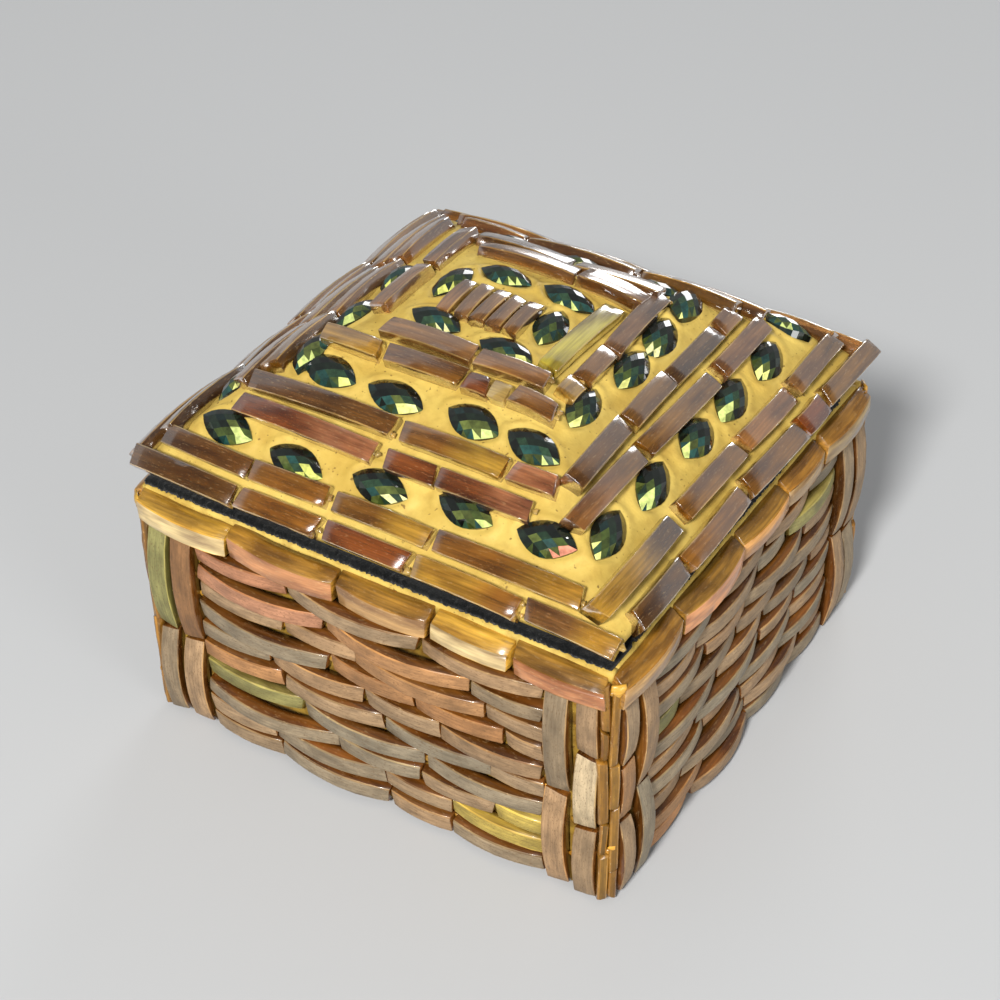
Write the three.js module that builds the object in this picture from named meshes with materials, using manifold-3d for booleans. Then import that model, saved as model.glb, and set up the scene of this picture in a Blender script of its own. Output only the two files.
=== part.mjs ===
// A hinged, square trinket box with a domed lid. A wooden box is coated in yellow lac, and
// segments of glass bangle and navette stones are set in the lac. Velvet lines the inside.
// Millimetres, +Z up. The origin is the middle of the felt pad's underside. The front faces
// -Y, the hinge runs along X at the back, and the lid opens by turning about the hinge pin.
import * as THREE from "three";
import { ConvexGeometry } from "three/addons/geometries/ConvexGeometry.js";
import { mergeVertices } from "three/addons/utils/BufferGeometryUtils.js";
import Module from "manifold-3d";

const wasm = await Module();
wasm.setup();

// ---- Driving dimensions ----------------------------------------------------------------

// The lac-coated body, without the glass that stands proud of it
const WIDTH = 72.6;
const DEPTH = 72.0;
const WALL_TOP = 40.0;
const DOME_RISE = 14.0;

// Shell thicknesses
const WALL = 4.0;
const BOTTOM = 4.0;
const LAC = 1.5;
const VELVET = 0.9;
// How far the velvet on the rim reaches past the wood, over the top of the lac
const RIM_FOLD = 1.3;
const FELT = 0.8;
const LID_EDGE_WOOD = 0.7;
const LID_LAC = 1.2;

// Clearances
const SEAT = 0.1;
const BED_GAP = 0.2;
const PILE_GAP = 0.4;
const LID_INSET = 0.2;
const MITRE = 0.3;

// Glass bangle segments
const BED = 0.3;
const BED_MARGIN = 0.12;
const BANGLE_RADIUS = 31;
const END_PROUD = 1.3;
const CHIP_GAP = 0.5;
const COURSE_PITCH = 3.5;
const LEDGE = 0.9;
const RIM_ROW = 4.0;
const RIM_LIP = 0.6;
const POST_WIDTH = 9.4;
const POST_COLUMNS = 2;
const FOOT_LIP = 0.6;
const LID_CHIP_PROUD = 1.7;
const LID_CHIP_CROWN = 0.5;
const LID_ROW_GAP = 0.3;
const LID_OVERHANG = 1.4;

// Lid pattern: the relative widths of its five bands from the edge inwards, half the size of
// the patch they leave in the middle, and how far that patch sits from the lid's middle (the
// bands are wider at the front and right than behind and on the left)
const BAND_WIDTHS = [4.2, 4.7, 4.6, 5.2, 5.7];
const CROWN_HALF = 10.1;
const PATTERN_SHIFT_X = -3.2;
const PATTERN_SHIFT_Y = 2.2;
const DOME_POWER = 2.05;

// Navette stones
const STONE_LENGTH = 9.4;
const STONE_WIDTH = 4.7;
const STONE_HEIGHT = 1.5;
const STONE_TABLE = 0.5;
const STONE_POINT = 0.2;
const STONE_LEAD = 4.2;
const STONE_TRAIL = 7.0;

// Short bars in the middle of the lid
const BAR_COUNT = 5;
const BAR_LENGTH = 7.6;
const BAR_WIDTH = 2.0;
const BAR_GAP = 0.3;

// Hinge
const HINGE_INSET = 6.3;
const KNUCKLES = 9;
const KNUCKLE_GAP = 0.3;
const BARREL_RADIUS = 1.25;
const PIN_RADIUS = 0.6;
const PIN_CLEARANCE = 0.1;
const PIN_HEAD = 0.5;
const LEAF = 0.6;
const LEAF_WIDTH = 5.6;
const SCREW_RADIUS = 0.7;
const SCREW_HEAD_RADIUS = 1.3;
const SCREW_LENGTH = 3.0;
const SCREW_TIP = 0.9;
const SCREW_HEAD_RIM = 0.1;
const SCREW_HEAD_SINK = 0.02;
const SCREW_CLEARANCE = 0.12;
const SCREW_FROM_END = 9;

// Relative lengths of the glass segments. Each list is one row, read from left to right by
// someone who faces that side, and is stretched to the run that its row has.
const RIM_ROWS = {
  front: [14.5, 16.5, 13.5, 11, 12.5],
  right: [14, 15.5, 12, 10.5, 14],
  back: [13, 15, 12, 15, 12],
  left: [12, 16, 14, 13, 13],
};
const FIELD_COURSES = {
  front: [
    [12, 18, 10, 14],
    [11, 18, 10, 14],
    [23.5, 14, 12, 7.5],
    [16, 19, 17.5],
    [13.5, 16.5, 17, 8],
    [11, 14.5, 11.5, 15],
    [21, 13, 13.5, 5.5],
    [13.5, 11, 19.5, 8],
    [20.5, 22, 10.5],
    [15, 20.5, 18],
  ],
  right: [
    [12, 17, 14, 11],
    [17, 13, 19, 8],
    [9, 18, 12, 16],
    [16, 10, 17, 13],
    [13, 19, 11, 12],
    [19, 14, 15, 7],
    [8, 16, 13, 18],
    [15, 12, 19, 10],
    [12, 18, 9, 16],
    [18, 15, 14, 9],
  ],
  back: [
    [14, 16, 13, 12],
    [19, 12, 16, 9],
    [11, 15, 18, 11],
    [17, 14, 10, 15],
    [9, 19, 15, 12],
    [15, 11, 13, 16],
    [12, 17, 18, 8],
    [18, 13, 12, 12],
    [10, 16, 14, 15],
    [16, 18, 11, 10],
  ],
  left: [
    [16, 12, 17, 10],
    [11, 18, 13, 13],
    [18, 14, 9, 15],
    [13, 11, 16, 15],
    [10, 17, 12, 16],
    [17, 15, 14, 9],
    [12, 13, 19, 11],
    [15, 17, 8, 15],
    [9, 14, 16, 16],
    [14, 19, 12, 10],
  ],
};
const POST_SEGMENTS = [
  [9, 12, 13],
  [16, 17],
];
const LID_ROWS = {
  outer: {
    front: [
      [16, 12, 12, 14.5, 12.5],
      [11.5, 11, 13.5, 20.5],
    ],
    right: [
      [11, 10, 6, 12, 7, 18],
      [19, 16, 12, 10, 7],
    ],
    back: [
      [15, 17, 12, 20],
      [13, 16, 18, 9],
    ],
    left: [
      [14, 18, 12, 16],
      [17, 13, 9, 16],
    ],
  },
  middle: {
    front: [
      [21, 8, 13],
      [22.5, 15, 6],
    ],
    right: [
      [17, 19, 14],
      [14.5, 11, 11, 11],
    ],
    back: [
      [16, 14, 15],
      [12, 17, 10],
    ],
    left: [
      [19, 13, 15],
      [13, 16, 12],
    ],
  },
  inner: {
    front: [
      [9, 11.5, 3.5, 3.5, 7],
      [14, 11.5],
    ],
    right: [[7.5, 5.5, 15], [17]],
    back: [
      [14, 11],
      [11, 13],
    ],
    left: [[10.5, 13]],
  },
};
const STONES = {
  outer: { front: 5, right: 5, back: 5, left: 5 },
  inner: { front: 4, right: 4, back: 3, left: 4 },
};

// ---- Materials -------------------------------------------------------------------------

const finish = (color, roughness, metalness = 0) =>
  new THREE.MeshStandardMaterial({ color, roughness, metalness });
const MATERIALS = {
  wood: finish(0xb08a5a, 0.7),
  felt: finish(0x16181a, 0.95),
  velvet: finish(0x191c1f, 0.95),
  lac: finish(0xd6b44e, 0.45),
  sideGlass: finish(0xb09470, 0.4),
  rimGlass: finish(0xc08a3c, 0.25),
  lidGlass: finish(0x7a4a16, 0.2),
  stone: finish(0x1b3430, 0.1),
  steel: finish(0x2a2a2c, 0.45, 0.9),
};

// ---- Solids ----------------------------------------------------------------------------

// The closed manifold-3d solid of a three.js geometry.
function solidOf(geometry) {
  const bare = geometry.clone();
  bare.deleteAttribute("normal");
  bare.deleteAttribute("uv");
  const merged = mergeVertices(bare, 1e-4);
  return new wasm.Manifold(
    new wasm.Mesh({
      numProp: 3,
      vertProperties: merged.attributes.position.array,
      triVerts: new Uint32Array(merged.index.array),
    }),
  );
}

// The three.js geometry of a manifold-3d solid.
function geometryOf(solid) {
  const mesh = solid.getMesh();
  const indexed = new THREE.BufferGeometry();
  indexed.setAttribute("position", new THREE.BufferAttribute(mesh.vertProperties, 3));
  indexed.setIndex(new THREE.BufferAttribute(mesh.triVerts, 1));
  const flat = indexed.toNonIndexed();
  flat.computeVertexNormals();
  return flat;
}

function join(geometries) {
  return geometryOf(geometries.map(solidOf).reduce((whole, piece) => whole.add(piece)));
}

function cut(geometry, cutters) {
  const tools = cutters.map(solidOf);
  return geometryOf(tools.reduce((left, tool) => left.subtract(tool), solidOf(geometry)));
}

function box([x0, y0, z0], [x1, y1, z1]) {
  const geometry = new THREE.BoxGeometry(x1 - x0, y1 - y0, z1 - z0);
  return geometry.translate((x0 + x1) / 2, (y0 + y1) / 2, (z0 + z1) / 2);
}

function polygon(points) {
  return new THREE.Shape(points.map(([x, y]) => new THREE.Vector2(x, y)));
}

// A flat outline, pushed up along +Z from one height to another.
function slab(points, low, high) {
  const options = { depth: high - low, bevelEnabled: false };
  return new THREE.ExtrudeGeometry(polygon(points), options).translate(0, 0, low);
}

function rodAlongX(radius, x0, x1, sides = 16) {
  const rod = new THREE.CylinderGeometry(radius, radius, x1 - x0, sides);
  return rod.rotateZ(Math.PI / 2).translate((x0 + x1) / 2, 0, 0);
}

// ---- Places ----------------------------------------------------------------------------

// The four sides in turn. A side's own frame has X along it, towards the right of someone
// who faces it. `run` is its length and `reach` is how far its surface is from the middle.
const SIDES = ["front", "right", "back", "left"].map((name, i) => ({
  name,
  turn: (i * Math.PI) / 2,
  run: i % 2 ? DEPTH : WIDTH,
  reach: (i % 2 ? WIDTH : DEPTH) / 2,
}));

// Frame of a plane that rises from a side's lower edge: X along the side, Y up the slope
// and Z out of the plane. `away` and `height` place its origin.
function planeFrame(side, away, height, slope) {
  const frame = new THREE.Matrix4().makeRotationZ(side.turn);
  frame.multiply(new THREE.Matrix4().makeTranslation(0, -away, height));
  return frame.multiply(new THREE.Matrix4().makeRotationX(slope));
}

// A glass segment in a plane's frame: it starts under the bed's surface, its outer face is
// an arc with its ends at `ends` and its middle `crown` further out. It lies along X.
function segment(x0, x1, y0, y1, ends, crown) {
  const foot = BED_GAP + BED / 2;
  const outline = [
    [x0, foot],
    [x1, foot],
    [x1, ends],
    [(x0 + x1) / 2, ends + crown],
    [x0, ends],
  ];
  return slab(outline, 0, y1 - y0)
    .rotateX(Math.PI / 2)
    .translate(0, y1, 0);
}

// How far the middle of a bangle segment stands out past its ends.
const bulge = (length) => (length * length) / (8 * BANGLE_RADIUS);

// Lays segments of the given relative lengths from x0 to x1, in the strip from y0 to y1.
function row(lengths, x0, x1, y0, y1, crownOf, ends) {
  const total = lengths.reduce((sum, length) => sum + length, 0);
  const room = x1 - x0 - 2 * BED_MARGIN - CHIP_GAP * (lengths.length - 1);
  let x = x0 + BED_MARGIN;
  return lengths.map((length) => {
    const run = (length / total) * room;
    const laid = segment(x, x + run, y0 + BED_MARGIN, y1 - BED_MARGIN, ends, crownOf(run));
    x += run + CHIP_GAP;
    return laid;
  });
}

// ---- The box's own pieces --------------------------------------------------------------

const innerX = WIDTH / 2 - LAC - SEAT - WALL;
const innerY = DEPTH / 2 - LAC - SEAT - WALL;
const woodX = innerX + WALL;
const woodY = innerY + WALL;
const floorTop = FELT + SEAT + BOTTOM;
const liningTop = WALL_TOP + SEAT + VELVET;
const lidGap = 2 * (SEAT + VELVET) + PILE_GAP;
const lidBottom = WALL_TOP + lidGap;
const hingeHalf = WIDTH / 2 - HINGE_INSET;
const root = new THREE.Group();

function add(name, geometry, material, frame = new THREE.Matrix4()) {
  const mesh = new THREE.Mesh(geometry, MATERIALS[material]);
  mesh.name = name;
  mesh.applyMatrix4(frame);
  root.add(mesh);
}

function woodenBox(screwHoles) {
  const low = FELT + SEAT;
  const front = box([-woodX, -woodY, low], [woodX, -innerY, WALL_TOP]);
  const back = box([-woodX, innerY, low], [woodX, woodY, WALL_TOP]);
  const edge = innerY - SEAT;
  add("base_wall_front", front, "wood");
  add("base_wall_back", cut(back, screwHoles), "wood");
  add("base_wall_left", box([-woodX, -edge, low], [-innerX, edge, WALL_TOP]), "wood");
  add("base_wall_right", box([innerX, -edge, low], [woodX, edge, WALL_TOP]), "wood");
  const panelX = innerX - SEAT;
  add("base_bottom_panel", box([-panelX, -edge, low], [panelX, edge, floorTop]), "wood");
  add("base_felt_pad", box([-woodX, -woodY, 0], [woodX, woodY, FELT]), "felt");
}

function lacCoats() {
  const x = WIDTH / 2;
  const y = DEPTH / 2;
  const inside = y - LAC - SEAT;
  add("base_lac_front", box([-x, -y, FOOT_LIP], [x, LAC - y, WALL_TOP]), "lac");
  add("base_lac_back", box([-x, y - LAC, FOOT_LIP], [x, y, WALL_TOP]), "lac");
  add("base_lac_left", box([-x, -inside, FOOT_LIP], [LAC - x, inside, WALL_TOP]), "lac");
  add("base_lac_right", box([x - LAC, -inside, FOOT_LIP], [x, inside, WALL_TOP]), "lac");
}

// Velvet on card. The front and side panels fold out over the walls; at the back the
// hinge leaf lies there instead.
function linings() {
  const faceX = innerX - SEAT;
  const faceY = innerY - SEAT;
  const low = floorTop + SEAT;
  const rimX = woodX + RIM_FOLD;
  const rimY = woodY + RIM_FOLD;
  const foldLow = WALL_TOP + SEAT;
  add("lining_floor", box([-faceX, -faceY, low], [faceX, faceY, low + VELVET]), "velvet");
  const wallLow = low + VELVET + SEAT;
  const front = box([-faceX, -faceY, wallLow], [faceX, VELVET - faceY, liningTop]);
  const frontFold = box([-rimX, -rimY, foldLow], [rimX, VELVET - faceY, liningTop]);
  add("lining_front", join([front, frontFold]), "velvet");
  const back = box([-faceX, faceY - VELVET, wallLow], [faceX, faceY, WALL_TOP]);
  add("lining_back", back, "velvet");
  const sideY = faceY - VELVET - SEAT;
  const foldY = woodY - LEAF_WIDTH - SEAT;
  for (const [name, hand] of [
    ["left", -1],
    ["right", 1],
  ]) {
    const span = (near, far) => [hand * near, hand * far].sort((a, b) => a - b);
    const [x0, x1] = span(faceX - VELVET, faceX);
    const [u0, u1] = span(faceX - VELVET, rimX);
    const wall = box([x0, -sideY, wallLow], [x1, sideY, WALL_TOP]);
    const bend = box([x0, -sideY, WALL_TOP - VELVET], [x1, foldY, liningTop]);
    const fold = box([u0, -sideY, foldLow], [u1, foldY, liningTop]);
    add("lining_" + name, join([wall, bend, fold]), "velvet");
  }
}

// ---- Glass on the sides ----------------------------------------------------------------

const rimTop = WALL_TOP - RIM_LIP;
const rimLow = rimTop - RIM_ROW;

// A clear resin bed holds each panel's glass together; the plane's frame stands at the
// foot of the side, so Y in it is the height.
function bed(x0, x1, y0, y1) {
  const corners = [
    [x0, y0],
    [x1, y0],
    [x1, y1],
    [x0, y1],
  ];
  return slab(corners, BED_GAP, BED_GAP + BED);
}

function sideGlass(side) {
  const frame = planeFrame(side, side.reach, 0, Math.PI / 2);
  const half = side.run / 2;
  const rimHalf = half - MITRE;
  const rim = row(RIM_ROWS[side.name], -rimHalf, rimHalf, rimLow, rimTop, bulge, END_PROUD);
  const rimBed = bed(-rimHalf, rimHalf, rimLow, rimTop);
  add("rim_row_" + side.name, join([rimBed, ...rim]), "rimGlass", frame);

  const fieldHalf = half - POST_WIDTH;
  const low = FOOT_LIP + MITRE;
  const high = rimLow - MITRE;
  const count = Math.max(1, Math.round((high - low) / COURSE_PITCH));
  const pitch = (high - low) / count;
  const courses = FIELD_COURSES[side.name];
  const pieces = [bed(-fieldHalf, fieldHalf, low, high)];
  for (let i = 0; i < count; i += 1) {
    const y = low + i * pitch;
    const lengths = courses[i % courses.length];
    pieces.push(...row(lengths, -fieldHalf, fieldHalf, y, y + pitch - LEDGE, bulge, END_PROUD));
  }
  add("glass_field_" + side.name, join(pieces), "sideGlass", frame);
}

// Upright segments in columns, from x0 to x1, as a list of geometries.
function columns(x0, x1, low, high) {
  const width = (x1 - x0) / POST_COLUMNS;
  const pieces = [];
  for (let i = 0; i < POST_COLUMNS; i += 1) {
    const left = x0 + i * width;
    const lengths = POST_SEGMENTS[i % POST_SEGMENTS.length];
    const laid = row(lengths, low, high, -left - width + LID_ROW_GAP, -left, bulge, END_PROUD);
    pieces.push(...laid.map((piece) => piece.rotateZ(Math.PI / 2)));
  }
  return pieces;
}

// The post at the corner where one side ends and the next begins: columns on both faces,
// and an angle of clear resin around the corner that holds them.
function cornerPost(side, next) {
  const low = FOOT_LIP + MITRE;
  const high = rimLow - MITRE;
  const inner = BED_GAP;
  const outer = BED_GAP + BED;
  const wing = POST_WIDTH - MITRE;
  const angle = [
    [-wing, -outer],
    [outer, -outer],
    [outer, wing],
    [inner, wing],
    [inner, -inner],
    [-wing, -inner],
  ];
  const wings = slab(angle, low, high).translate(side.run / 2, -side.reach, 0);
  const ownFrame = planeFrame({ ...side, turn: 0 }, side.reach, 0, Math.PI / 2);
  const nextFrame = planeFrame({ ...next, turn: Math.PI / 2 }, next.reach, 0, Math.PI / 2);
  const own = columns(side.run / 2 - wing, side.run / 2 - MITRE, low, high);
  const others = columns(-next.run / 2 + MITRE, -next.run / 2 + wing, low, high);
  const pieces = [
    wings,
    ...own.map((piece) => piece.applyMatrix4(ownFrame)),
    ...others.map((piece) => piece.applyMatrix4(nextFrame)),
  ];
  const name = "corner_post_" + side.name + "_" + next.name;
  add(name, join(pieces), "sideGlass", new THREE.Matrix4().makeRotationZ(side.turn));
}

// ---- The lid ---------------------------------------------------------------------------

const lidX = WIDTH / 2 - LID_INSET;
const lidY = DEPTH / 2 - LID_INSET;
const edgeTop = lidBottom + LID_EDGE_WOOD + LID_LAC;
const patternDepth = Math.min(lidX, lidY) - CROWN_HALF;

// A ring of the dome: its four edges and its height.
function ring(distance) {
  const along = distance / patternDepth;
  const closeness = 1 - distance / Math.min(lidX, lidY);
  const full = 1 - (1 - patternDepth / Math.min(lidX, lidY)) ** DOME_POWER;
  const share = (1 - closeness ** DOME_POWER) / full;
  return {
    left: -lidX + distance + PATTERN_SHIFT_X * along,
    right: lidX - distance + PATTERN_SHIFT_X * along,
    front: -lidY + distance + PATTERN_SHIFT_Y * along,
    back: lidY - distance + PATTERN_SHIFT_Y * along,
    height: edgeTop + DOME_RISE * share,
  };
}

// The six rings, from the edge to the patch in the middle.
const rings = [0, ...BAND_WIDTHS].map((_, i) => {
  const sum = (widths) => widths.reduce((total, width) => total + width, 0);
  return ring((patternDepth * sum(BAND_WIDTHS.slice(0, i))) / sum(BAND_WIDTHS));
});

// A closed stack of rectangles, each given by its edges and height, from the lowest up.
function stack(levels) {
  const corners = levels.flatMap((r) => [
    [r.left, r.front, r.height],
    [r.right, r.front, r.height],
    [r.right, r.back, r.height],
    [r.left, r.back, r.height],
  ]);
  const faces = [0, 2, 1, 0, 3, 2];
  for (let i = 0; i + 1 < levels.length; i += 1) {
    for (let k = 0; k < 4; k += 1) {
      const a = 4 * i + k;
      const b = 4 * i + ((k + 1) % 4);
      faces.push(a, b, b + 4, a, b + 4, a + 4);
    }
  }
  const top = 4 * (levels.length - 1);
  faces.push(top, top + 1, top + 2, top, top + 2, top + 3);
  const geometry = new THREE.BufferGeometry();
  geometry.setAttribute("position", new THREE.Float32BufferAttribute(corners.flat(), 3));
  geometry.setIndex(faces);
  return geometry;
}

// The dome's rings moved in by `inset` and down by `drop`, standing on the lid's underside.
function dome(inset, drop, bottom) {
  const moved = rings.map((r) => ({
    left: r.left + inset,
    right: r.right - inset,
    front: r.front + inset,
    back: r.back - inset,
    height: r.height - drop,
  }));
  return stack([{ ...moved[0], height: bottom }, ...moved]);
}

function lidShell(screwHoles) {
  add("lid_core", cut(dome(LID_LAC, LID_LAC, lidBottom), screwHoles), "wood");
  const hollow = dome(LID_LAC - SEAT, LID_LAC - SEAT, lidBottom - 1);
  add("lid_lac", cut(dome(0, 0, lidBottom), [hollow]), "lac");
  const x = woodX;
  const top = lidBottom - SEAT;
  const back = woodY - LEAF_WIDTH - SEAT;
  add("lid_lining", box([-x, -woodY, top - VELVET], [x, back, top]), "velvet");
}

// The plane of one band of the dome on one side, and the band's outline in that plane.
function bandPlane(side, lower, upper) {
  const edges = {
    front: [-lower.front, -upper.front, lower.left, lower.right, upper.left, upper.right],
    right: [lower.right, upper.right, lower.front, lower.back, upper.front, upper.back],
    back: [lower.back, upper.back, -lower.right, -lower.left, -upper.right, -upper.left],
    left: [-lower.left, -upper.left, -lower.back, -lower.front, -upper.back, -upper.front],
  };
  const [away, nearer, lowLeft, lowRight, highLeft, highRight] = edges[side.name];
  const rise = upper.height - lower.height;
  const slope = Math.atan2(rise, away - nearer);
  const width = Math.hypot(rise, away - nearer);
  const frame = planeFrame(side, away, lower.height, slope);
  return { frame, width, lowLeft, lowRight, highLeft, highRight };
}

function bandBed(plane) {
  const trim = MITRE * 1.5;
  const corners = [
    [plane.lowLeft + trim, MITRE / 2],
    [plane.lowRight - trim, MITRE / 2],
    [plane.highRight - trim, plane.width - MITRE / 2],
    [plane.highLeft + trim, plane.width - MITRE / 2],
  ];
  return slab(corners, BED_GAP, BED_GAP + BED);
}

function chipBand(name, side, lower, upper, rows, overhang) {
  const plane = bandPlane(side, lower, upper);
  const pitch = plane.width / rows.length;
  const pieces = [bandBed(plane)];
  rows.forEach((lengths, i) => {
    const y0 = i === 0 ? LID_ROW_GAP - overhang : i * pitch + LID_ROW_GAP / 2;
    const y1 = (i + 1) * pitch - LID_ROW_GAP;
    const share = y1 / plane.width;
    const x0 = THREE.MathUtils.lerp(plane.lowLeft, plane.highLeft, share) + MITRE * 2;
    const x1 = THREE.MathUtils.lerp(plane.lowRight, plane.highRight, share) - MITRE * 2;
    const ends = BED_GAP + LID_CHIP_PROUD;
    pieces.push(...row(lengths, x0, x1, y0, y1, () => LID_CHIP_CROWN, ends));
  });
  add(name + "_" + side.name, join(pieces), "lidGlass", plane.frame);
}

// A navette stone: a pointed outline whose faceted crown rises to a small table. It lies
// along X with its middle at (x, y).
function navette(x, y, length = STONE_LENGTH, width = STONE_WIDTH) {
  const foot = BED_GAP + BED / 2;
  const outline = [];
  for (let i = 0; i < 8; i += 1) {
    const along = Math.cos((i * Math.PI) / 4);
    const across = Math.sin((i * Math.PI) / 4) * 0.5 * width;
    outline.push([(along * length) / 2, across * (1 - STONE_POINT * Math.abs(along))]);
  }
  const points = outline.flatMap(([u, v]) => [
    new THREE.Vector3(x + u, y + v, foot),
    new THREE.Vector3(x + u * STONE_TABLE, y + v * STONE_TABLE, BED_GAP + STONE_HEIGHT),
  ]);
  return new ConvexGeometry(points);
}

function stoneBand(name, side, lower, upper, count) {
  const plane = bandPlane(side, lower, upper);
  const middle = plane.width / 2;
  const left = (plane.lowLeft + plane.highLeft) / 2 + STONE_LEAD;
  const right = (plane.lowRight + plane.highRight) / 2 - STONE_TRAIL;
  const pitch = (right - left) / (count - 1);
  const length = Math.min(STONE_LENGTH, pitch - CHIP_GAP);
  const width = Math.min(STONE_WIDTH, plane.width - MITRE * 2);
  const pieces = [bandBed(plane)];
  for (let i = 0; i < count; i += 1) pieces.push(navette(left + i * pitch, middle, length, width));
  add(name + "_" + side.name, join(pieces), "stone", plane.frame);
}

// Six stones around five short bars, on the flat top of the dome.
function crown() {
  const top = rings[rings.length - 1];
  const halfX = (top.right - top.left) / 2;
  const halfY = (top.back - top.front) / 2;
  const place = new THREE.Matrix4().makeTranslation(
    (top.left + top.right) / 2,
    (top.front + top.back) / 2,
    top.height,
  );
  const barsHalf = (BAR_COUNT * (BAR_WIDTH + BAR_GAP)) / 2;
  const barsHeight = BAR_LENGTH / 2;
  const ends = BED_GAP + LID_CHIP_PROUD;
  const bars = [bed(-barsHalf, barsHalf, -barsHeight, barsHeight)];
  for (let i = 0; i < BAR_COUNT; i += 1) {
    const x = -barsHalf + BAR_GAP / 2 + i * (BAR_WIDTH + BAR_GAP);
    const bar = segment(-barsHeight, barsHeight, -x - BAR_WIDTH, -x, ends, LID_CHIP_CROWN);
    bars.push(bar.rotateZ(Math.PI / 2));
  }
  add("crown_bars", join(bars), "lidGlass", place);

  const rimX = halfX - MITRE;
  const rimY = halfY - MITRE;
  const frame = cut(bed(-rimX, rimX, -rimY, rimY), [
    box([-barsHalf - MITRE, -barsHeight - MITRE, 0], [barsHalf + MITRE, barsHeight + MITRE, LAC]),
  ]);
  const endX = (rimX + barsHalf + MITRE) / 2;
  const endY = (rimY + barsHeight + MITRE) / 2;
  const wide = Math.min(STONE_WIDTH, rimX - barsHalf - MITRE);
  const deep = Math.min(STONE_WIDTH, rimY - barsHeight - MITRE);
  const long = Math.min(STONE_LENGTH, rimX - MITRE);
  const stones = [
    navette(-rimX / 2, -endY, long, deep),
    navette(rimX / 2, -endY, long, deep),
    navette(-rimX / 2, endY, long, deep),
    navette(rimX / 2, endY, long, deep),
    navette(0, 0, BAR_LENGTH, wide).rotateZ(Math.PI / 2).translate(-endX, 0, 0),
    navette(0, 0, BAR_LENGTH, wide).rotateZ(Math.PI / 2).translate(endX, 0, 0),
  ];
  add("crown_stones", join([frame, ...stones]), "stone", place);
}

// ---- The hinge -------------------------------------------------------------------------

const axisY = DEPTH / 2 + MITRE + BARREL_RADIUS;
const axisZ = WALL_TOP + lidGap / 2;
const leafBack = axisY - BARREL_RADIUS - KNUCKLE_GAP;
const leafFront = woodY - LEAF_WIDTH;
const screwY = woodY - WALL / 2;
const hingePlace = new THREE.Matrix4().makeTranslation(0, axisY, axisZ);
const screwPlaces = [-1, 1].map((hand) => hand * (hingeHalf - SCREW_FROM_END));

// One leaf with every second knuckle, in the pin's frame. `first` is its first knuckle, and
// `hand` is 1 for the leaf on the lid, which lies above the pin, and -1 for the one below.
function leaf(first, hand) {
  const half = hingeHalf;
  const pitch = (2 * half) / KNUCKLES;
  const outside = lidGap / 2 - SEAT;
  const [z0, z1] = hand > 0 ? [outside - LEAF, outside] : [-outside, LEAF - outside];
  const plate = box([-half, leafFront - axisY, z0], [half, leafBack - axisY, z1]);
  const solids = [plate];
  const bores = [];
  for (let i = first; i < KNUCKLES; i += 2) {
    const x0 = -half + i * pitch + (i ? KNUCKLE_GAP / 2 : 0);
    const x1 = -half + (i + 1) * pitch - (i < KNUCKLES - 1 ? KNUCKLE_GAP / 2 : 0);
    solids.push(rodAlongX(BARREL_RADIUS, x0, x1));
    solids.push(box([x0, leafBack - axisY - LEAF, z0], [x1, 0, z1]));
  }
  bores.push(rodAlongX(PIN_RADIUS + PIN_CLEARANCE, -half - 1, half + 1));
  const holes = screwPlaces.map((x) => screwShape(x, hand, SCREW_CLEARANCE));
  return cut(join(solids), [...bores, ...holes]);
}

// A countersunk wood screw, or with `more` its hole, in the pin's frame. It goes up into
// the lid for hand 1 and down into the back wall for hand -1.
function screwShape(x, hand, more) {
  const head = lidGap / 2 - SEAT - LEAF + SCREW_HEAD_SINK;
  const rim = head + SCREW_HEAD_RIM;
  const tip = head + SCREW_LENGTH;
  const profile = [
    [0, head - more],
    [SCREW_HEAD_RADIUS + more, head - more],
    [SCREW_HEAD_RADIUS + more, rim],
    [SCREW_RADIUS + more, rim + SCREW_HEAD_RADIUS - SCREW_RADIUS],
    [SCREW_RADIUS + more, tip - SCREW_TIP],
    [0, tip + more],
  ];
  const points = profile.map(([r, z]) => new THREE.Vector2(r, z));
  const turned = new THREE.LatheGeometry(points, 12).rotateX(Math.PI / 2);
  if (hand < 0) turned.rotateX(Math.PI);
  return turned.translate(x, screwY - axisY, 0);
}

function hinge() {
  add("hinge_leaf_base", leaf(0, -1), "steel", hingePlace);
  add("hinge_leaf_lid", leaf(1, 1), "steel", hingePlace);
  const half = hingeHalf;
  const head = rodAlongX(BARREL_RADIUS - PIN_CLEARANCE, half + SEAT, half + SEAT + PIN_HEAD);
  const tail = rodAlongX(BARREL_RADIUS - PIN_CLEARANCE, -half - SEAT - PIN_HEAD, -half - SEAT);
  const shank = rodAlongX(PIN_RADIUS, -half - SEAT - PIN_HEAD / 2, half + SEAT + PIN_HEAD / 2);
  add("hinge_pin", join([shank, head, tail]), "steel", hingePlace);
  screwPlaces.forEach((x, i) => {
    const end = i ? "right" : "left";
    add("hinge_screw_base_" + end, screwShape(x, -1, 0), "steel", hingePlace);
    add("hinge_screw_lid_" + end, screwShape(x, 1, 0), "steel", hingePlace);
  });
}

// ---- Assembly --------------------------------------------------------------------------

function screwHoles(hand) {
  return screwPlaces.map((x) => screwShape(x, hand, SCREW_CLEARANCE).applyMatrix4(hingePlace));
}

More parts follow.
